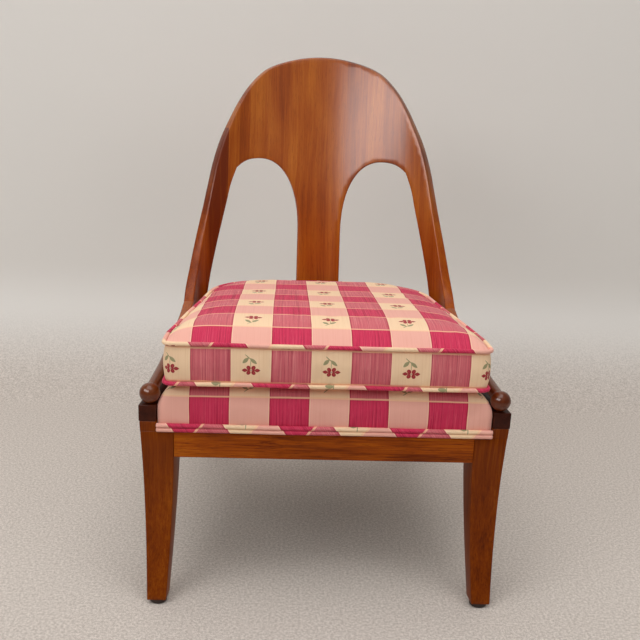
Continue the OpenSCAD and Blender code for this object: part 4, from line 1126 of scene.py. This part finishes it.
def make_welts():
    # Their ends are rounded off beyond this
    half = beside(RAIL_T, 0) - SOFT_GAP - 1.2
    for row, end in ((1, "upper"), (0, "lower")):
        path = [(x, DECK_FRONT - WELT_R + 0.15 * math.sin(x / 31 + row),
                 SEAT_H + WELT_R + 2 * WELT_R * row + 0.25 * math.sin(x / 47))
                for x in np.linspace(-half, half, 151)]
        tube(f"welt_{end}", path, WELT_R, f"deck_welt_{end}", "frame", False, world, 75, -70.6, 66.5,
             around=math.pi / 2 if row else -math.pi / 2)


# The fixed deck
def deck_outline(roll):
    front, back = DECK_FRONT + roll * ROLL_SHARE, DECK_BACK - roll * ROLL_SHARE
    half = beside(RAIL_T, front) - SOFT_GAP - roll
    fr, br = DECK_CORNER + roll * ROLL_SHARE, DECK_BACK_R

    def corner(rise, r, y, angles):
        """A corner's points, whose middle lies so far behind the front, at y"""
        x = half - rise * math.tan(SPLAY) - r / math.cos(SPLAY)
        return [(x + r * math.cos(a), y + r * math.sin(a)) for a in angles]

    points = [(0, front)] + corner(fr, fr, front + fr, np.linspace(-math.pi / 2, SPLAY, 9))
    points += corner(back - br - front, br, back - br, np.linspace(SPLAY, math.pi / 2, 13)) + [(0, back)]
    # The points are closer along the front, up to the middle of its corner
    front_part, rest = resample(points[:6], 36), resample(points[5:], 96)
    return mirrored(np.concatenate([front_part, rest[1:]]))


def make_deck():
    def top_at(y):
        return DECK_TOP - math.tan(SLOPE) * y

    def roll_h(y):
        return min(ROLL_H, top_at(y) - SEAT_H - DECK_BAR_H)

    base = deck_outline(0)
    n = len(base)
    rings = [[(x, y, DECK_FOOT + k / DECK_SIDE_RINGS * (top_at(y) - roll_h(y) - DECK_FOOT)) for x, y in base]
             for k in range(DECK_SIDE_RINGS)]
    for a in (math.radians(90 * k / DECK_ROLL_RINGS) for k in range(DECK_ROLL_RINGS + 1)):
        rings.append([(x, y, top_at(y) - roll_h(y) * (1 - math.sin(a)))
                      for x, y in deck_outline(ROLL_IN * (1 - math.cos(a)))])
    rings = np.array(rings)
    inner = rings[-1, :, :2]
    flat, triangles = fill(inner, DECK_GRID)
    last = (len(rings) - 1) * n
    points = [tuple(p) for ring in rings for p in ring] + [(x, y, top_at(y)) for x, y in flat[n:]]
    loops = [list(range(k * n, k * n + n)) for k in range(len(rings))]
    faces = bridge(loops) + [[last + i for i in t] for t in triangles]
    # How far the cloth has run up at each point of each ring, and round each ring
    climb = np.cumsum(np.linalg.norm(np.diff(rings, axis=0, prepend=rings[:1]), axis=2), axis=0)
    start, end = np.array([runs_round(ring[:, :2]) for ring in rings]).transpose(1, 0, 2) * CLOTH_FIT
    line_up = np.interp(FRONT_LINE_H, rings[:, 0, 2], climb[:, 0])
    top_v = line_up - climb[-1, 0] + inner[0][1]
    normal = -miters(base)
    uvs = []

    def over(k, i, rear):
        """The top's check, carried on over a side or over the back"""
        x, down = rings[k, i, 0], climb[-1, i] - climb[k, i]
        if rear:
            return x * CLOTH_FIT, top_v - inner[i][1] - down
        return (inner[i][0] + math.copysign(down, x)) * CLOTH_FIT, top_v - inner[i][1]

    for k in range(len(rings) - 1):
        for i in range(n):
            j = (i + 1) % n
            facing = (normal[i] + normal[j])[1]
            corners = (k, i), (k, j), (k + 1, j), (k + 1, i)
            if facing < -0.2:
                across = start[k, i], end[k, i], end[k + 1, i], start[k + 1, i]
                uvs.append([(u, line_up - climb[c]) for u, c in zip(across, corners)])
            else:
                uvs.append([over(*c, facing > 1.2) for c in corners])
    uvs += [[(flat[i][0] * CLOTH_FIT, top_v - flat[i][1]) for i in t] for t in triangles]
    # The underside is closed just above the bars, where the cloth turns under
    faces.append(list(reversed(range(n))))
    uvs.append([tuple(p) for p in reversed(base)])
    o = piece("deck", points, faces, "frame", ["deck_cover", "deck_pad"], check_cloth,
              uvs=uvs)
    held = set(range(2 * n)) | set(range(last, len(points)))
    held |= {i for i, (_, y, z) in enumerate(points) if z < RAIL_H + 4 and y > 20}
    wanted = np.array([1.0 if y < 40 else 0.4 for _, y, _ in points])
    settle(o, held, wanted, pressure=3.0, fold_cap=0.8, swell_cap=1.0, shrink=-0.004)
    for e in o.data.edges:
        if max(e.vertices) < n:
            e.use_edge_sharp = True


cushion_edge = cushion_outline()
make_cushion(cushion_edge)
make_piping(cushion_edge)
make_deck()
make_welts()

# CAD nodes that keep their own shape
for names, material in (
        (("glides",), glide_brown),
        (("rear_rail",), hidden_rail_wood),
        (("splat_plugs",), plug_wood),
        (("block_screws", "deck_screws", "splat_screws", "glide_pins"), steel),
        (("corner_blocks", "rail_dowels", "tongue_dowels", "stile_dowels", "arm_dowels", "ball_dowels",
          "deck_front_bar", "deck_rear_bar", "deck_side_bars"), inner_wood),
        (("webbing_across", "webbing_along"), webbing),
        (("deck_hessian",), hessian),
        (("dust_cover",), black_cloth)):
    for name in names:
        slots = nodes[name].material_slots
        if not slots:
            nodes[name].data.materials.append(material)
        for slot in slots:
            slot.material = material


# Floor and light
def backdrop_material():
    m, net, shader = new_material("backdrop", roughness=0.95, specular_ior_level=0.1)
    where = net.place()
    speck = net.plus(net.times(net.noise(where, 520, 3, 0.75), 0.4),
                     net.times(net.noise(where, 210, 4, 0.8), 0.6))
    carpet = net.mix(net.step(speck, 0.38, 0.62), linear(178, 169, 161), linear(226, 218, 211))
    high_up = net.step(net.parts(where)[2], 0.0, 0.2)
    room = net.mix(high_up, carpet, linear(236, 234, 230))
    # Painted light: the floor is paler far off, where the lamps light it less
    far = net.node("ShaderNodeVectorMath", operation="LENGTH")
    net.put(far.inputs[0], where)
    far_painted_light = net.step(far.outputs["Value"], 2.2, 7.0)
    net.put(shader.inputs["Base Color"], net.mix(far_painted_light, room, linear(252, 248, 242)))
    net.put(shader.inputs["Normal"], net.bump(net.times(speck, net.minus(1.0, high_up)), 0.4, 0.0015))
    # From behind, the wall can be looked through
    behind = net.node("ShaderNodeNewGeometry").outputs["Backfacing"]
    clear = net.node("ShaderNodeBsdfTransparent").outputs[0]
    both = net.made(net.node("ShaderNodeMixShader"), behind, shader.outputs[0], clear)
    net.put(m.node_tree.nodes["Material Output"].inputs["Surface"], both)
    return m


def backdrop():
    """Carpet and wall in one sweep; behind the wall the floor goes on"""
    wall, bend = FRONT + 1.15, 0.3
    profile = [(-7, 0), (-3, 0), (-1, 0)]
    profile += [(wall - bend + bend * math.sin(a), bend - bend * math.cos(a))
                for a in np.linspace(0, math.pi / 2, 13)]
    profile += [(wall, 1), (wall, 3), (wall, 7)]
    count = len(profile)
    points = [(x, y, z) for x in (-9, 9) for y, z in profile]
    faces = [[i, i + count, i + count + 1, i + 1] for i in range(count - 1)]
    faces.append([len(points) + i for i in (0, 1, 3, 2)])
    points += [(x, y, 0) for y in (wall - bend, 7) for x in (-9, 9)]
    mesh = bpy.data.meshes.new("backdrop")
    mesh.from_pydata(points, [], faces)
    mesh.shade_smooth()
    mesh.materials.append(backdrop_material())
    o = bpy.data.objects.new("backdrop", mesh)
    scene.collection.objects.link(o)


def soft_room():
    """The world: brighter above, and one even colour for the camera"""
    room = bpy.data.worlds.new("soft_room")
    room.use_nodes = True
    net = Net(room.node_tree)
    background = room.node_tree.nodes["Background"]
    seen = net.node("ShaderNodeLightPath").outputs["Is Camera Ray"]
    net.put(background.inputs["Color"], net.mix(seen, linear(200, 196, 192), linear(188, 183, 177)))
    up = net.parts(net.node("ShaderNodeTexCoord").outputs["Generated"])[2]
    net.put(background.inputs["Strength"], net.most(seen, net.step(up, -0.1, 0.9, 0.16, 0.62)))
    scene.world = room


def lamp(name, place, aim, size, power, colour, lights=True, shines=True):
    """A soft lamp, which may leave out either the light it casts or its reflection"""
    data = bpy.data.lights.new(name, "AREA")
    data.shape = "RECTANGLE"
    data.size, data.size_y = size
    data.energy = power
    data.color = colour
    o = bpy.data.objects.new(name, data)
    scene.collection.objects.link(o)
    o.location = place
    o.rotation_euler = (Vector(aim) - Vector(place)).to_track_quat("-Z", "Y").to_euler()
    o.visible_diffuse, o.visible_glossy = lights, shines


backdrop()
soft_room()
DAYLIGHT, BOUNCE = (1, 0.985, 0.965), (1, 0.99, 0.98)
lamp("window", (-1.6, -1.5, 1.72), (0, 0.1, 0.6), (1.9, 0.8), 16, DAYLIGHT, shines=False)
lamp("window_shine", (-1.46, -1.62, 1.78), (0, 0.1, 0.6), (2.5, 0.8), 46, DAYLIGHT, lights=False)
lamp("fill", (1.5, -1.7, 1.7), (0.2, 0.2, 0.5), (1.6, 1.3), 9, BOUNCE, shines=False)
lamp("overhead", (-0.2, -0.7, 3.6), (0, 0, 0.4), (3.0, 2.8), 60, BOUNCE)


# The camera: angles in radians, and its focal length and middle in pixels of a picture 640 wide
PIXELS, FOCAL, MIDDLE_X, MIDDLE_Y, SENSOR = 640, 936.06, 317.0, 342.5, 36
YAW, PITCH, ROLL = 0.0471, 0.3093, 0.0403
cam_at = Vector(world((-86.79, -1417.4, 907.53)))
ahead = Vector((math.sin(YAW) * math.cos(PITCH), math.cos(YAW) * math.cos(PITCH), -math.sin(PITCH)))
right = Vector((math.cos(YAW), -math.sin(YAW), 0))
above = right.cross(ahead)
right_rolled = right * math.cos(ROLL) + above * math.sin(ROLL)
above_rolled = above * math.cos(ROLL) - right * math.sin(ROLL)
cam_data = bpy.data.cameras.new("camera")
cam = bpy.data.objects.new("camera", cam_data)
scene.collection.objects.link(cam)
turn = Matrix((right_rolled, above_rolled, -ahead)).transposed().to_4x4()
cam.matrix_world = Matrix.Translation(cam_at) @ turn
cam_data.sensor_width = SENSOR
cam_data.lens = FOCAL / PIXELS * SENSOR
cam_data.shift_x = -(MIDDLE_X - PIXELS / 2) / PIXELS
cam_data.shift_y = (MIDDLE_Y - PIXELS / 2) / PIXELS
cam_data.clip_start, cam_data.clip_end = 0.05, 100
scene.camera = cam
scene.view_settings.view_transform = "Standard"
